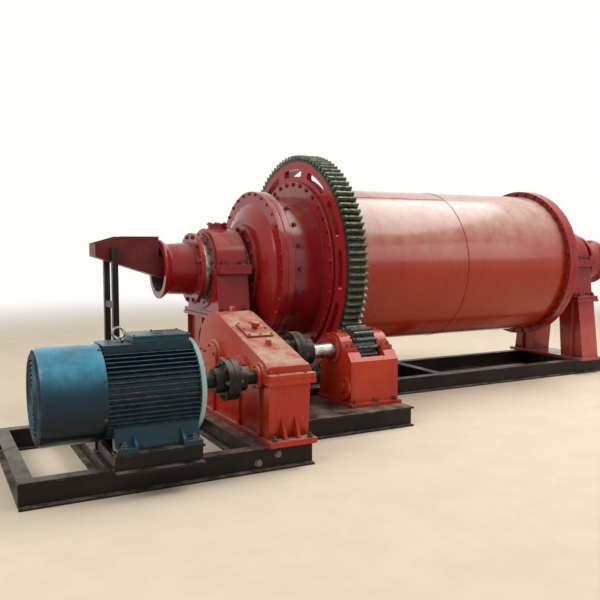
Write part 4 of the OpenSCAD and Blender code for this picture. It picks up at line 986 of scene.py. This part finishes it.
SHIELD_FACE = -3.191
SHIELD_CIRCLE = 0.281
fasteners("motor_shield_bolts", circle(SHIELD_FACE, SHIELD_CIRCLE, 8, TO_DISCHARGE,
          centre=MOTOR_AXIS, first=22.5), 0.012, "base", "motor_paint", dark_bolt)

# Feed chute: an open trough of 8 mm sheet that slopes into the feed spout, clipped between
# two posts of square tube on a cross beam. Its paint is dull and dusty, and its dark colour is
# painted shade.
shaded_chute_maroon = paint("shaded_chute_maroon", (0.11, 0.007, 0.012, 1), (0.15, 0.022, 0.022, 1), patch=0.25,
                     rough=0.4, gloss=0.15, dust=0.5, wear=0.9, grime_and_shade=0.8, runs=0.8,
                     under=(0.14, 0.11, 0.09, 1))
finished("chute_trough", "feed_chute", 0.0015, "machine_paint", shaded_chute_maroon)
finished("chute_posts", "chute_stand", 0.003, "frame_black", beam_black)
CLIP_Y = 0.11
CLIP_RISE = 0.135
clip_bolts = [((CROSS_BEAMS_X[0], side * CLIP_Y, MILL_AXIS.z + CLIP_RISE), (0, -side, 0))
              for side in (-1, 1)]
red_bolts("chute_clip_bolts", clip_bolts, 0.014, "base")

# Stage: a plain pale floor that fades into the sky, soft light from above and both sides, and
# the camera 1.5 m above the ground beyond the motor.
SKY = (0.99, 0.985, 0.96, 1)
FLOOR_R = 60
FADE_FROM = 5.5
FADE_TO = 14
floor_mesh = bpy.data.meshes.new("floor")
floor_shape = bmesh.new()
bmesh.ops.create_circle(floor_shape, cap_ends=True, radius=FLOOR_R, segments=96)
floor_shape.to_mesh(floor_mesh)
floor_shape.free()
floor = bpy.data.objects.new("floor", floor_mesh)
bpy.context.scene.collection.objects.link(floor)
floor_coat, tree = blank_material("pale_floor")


def seen_rays(tree):
    """1 where the camera looks, straight or in a reflection; 0 for the light on the object."""
    rays = put(tree, "ShaderNodeLightPath")
    straight = maths(tree, "MAXIMUM", rays.outputs["Is Camera Ray"], rays.outputs["Is Glossy Ray"])
    return maths(tree, "MAXIMUM", straight, rays.outputs["Is Transmission Ray"])


where = own_place(tree)
distance = put(tree, "ShaderNodeVectorMath", {0: where}, operation="LENGTH").outputs["Value"]
grit = noise(tree, where, 3, 8, 0.7)
sand = blend_colour(tree, ramp(tree, grit, 0.35, 0.65), (0.76, 0.66, 0.51, 1), (0.72, 0.62, 0.47, 1))
ground = put(tree, "ShaderNodeBsdfPrincipled", {"Base Color": sand, "Roughness": 0.85})
haze = put(tree, "ShaderNodeEmission", {"Color": SKY, "Strength": 1.0})
far = maths(tree, "MULTIPLY", ramp(tree, distance, FADE_FROM, FADE_TO), seen_rays(tree))
both = put(tree, "ShaderNodeMixShader", {0: far, 1: ground.outputs[0], 2: haze.outputs[0]})
show(tree, both)
floor_mesh.materials.append(floor_coat)

world = bpy.data.worlds.new("open_sky")
world.use_nodes = True
bpy.context.scene.world = world
tree = world.node_tree
tree.nodes.clear()
SKYLIGHT = 0.45
strength = blend_value(tree, seen_rays(tree), SKYLIGHT, 1.0)
sky = put(tree, "ShaderNodeBackground", {"Color": SKY, "Strength": strength})
tree.links.new(sky.outputs[0], put(tree, "ShaderNodeOutputWorld").inputs[0])

for name, place, size, power, tint in (
        ("sky_panel", (3.2, -1.0, 7.6), (8.0, 4.0), 570, (1.0, 0.98, 0.96)),
        ("left_panel", (-10.0, -3.0, 6.5), (6.0, 5.0), 430, (1.0, 0.97, 0.93)),
        ("right_panel", (6.5, -9.0, 4.5), (5.0, 4.0), 150, (0.96, 0.98, 1.0))):
    lamp = bpy.data.lights.new(name, "AREA")
    lamp.shape = "RECTANGLE"
    lamp.size, lamp.size_y = size
    lamp.energy = power
    lamp.color = tint
    holder = bpy.data.objects.new(name, lamp)
    holder.location = place
    aim = Vector((-0.6, -0.4, 0.9)) - Vector(place)
    holder.rotation_euler = aim.to_track_quat("-Z", "Y").to_euler()
    bpy.context.scene.collection.objects.link(holder)

LOOKS_DOWN = 4.54
LOOKS_RIGHT = 27.88
lens = bpy.data.cameras.new("photo_camera")
lens.sensor_width = 36
lens.lens = 43.4
camera = bpy.data.objects.new("photo_camera", lens)
camera.location = (-4.71, -6.221, 1.497)
camera.rotation_euler = (math.radians(90 - LOOKS_DOWN), 0, math.radians(-LOOKS_RIGHT))
bpy.context.scene.collection.objects.link(camera)
bpy.context.scene.camera = camera
bpy.context.scene.view_settings.view_transform = "Standard"
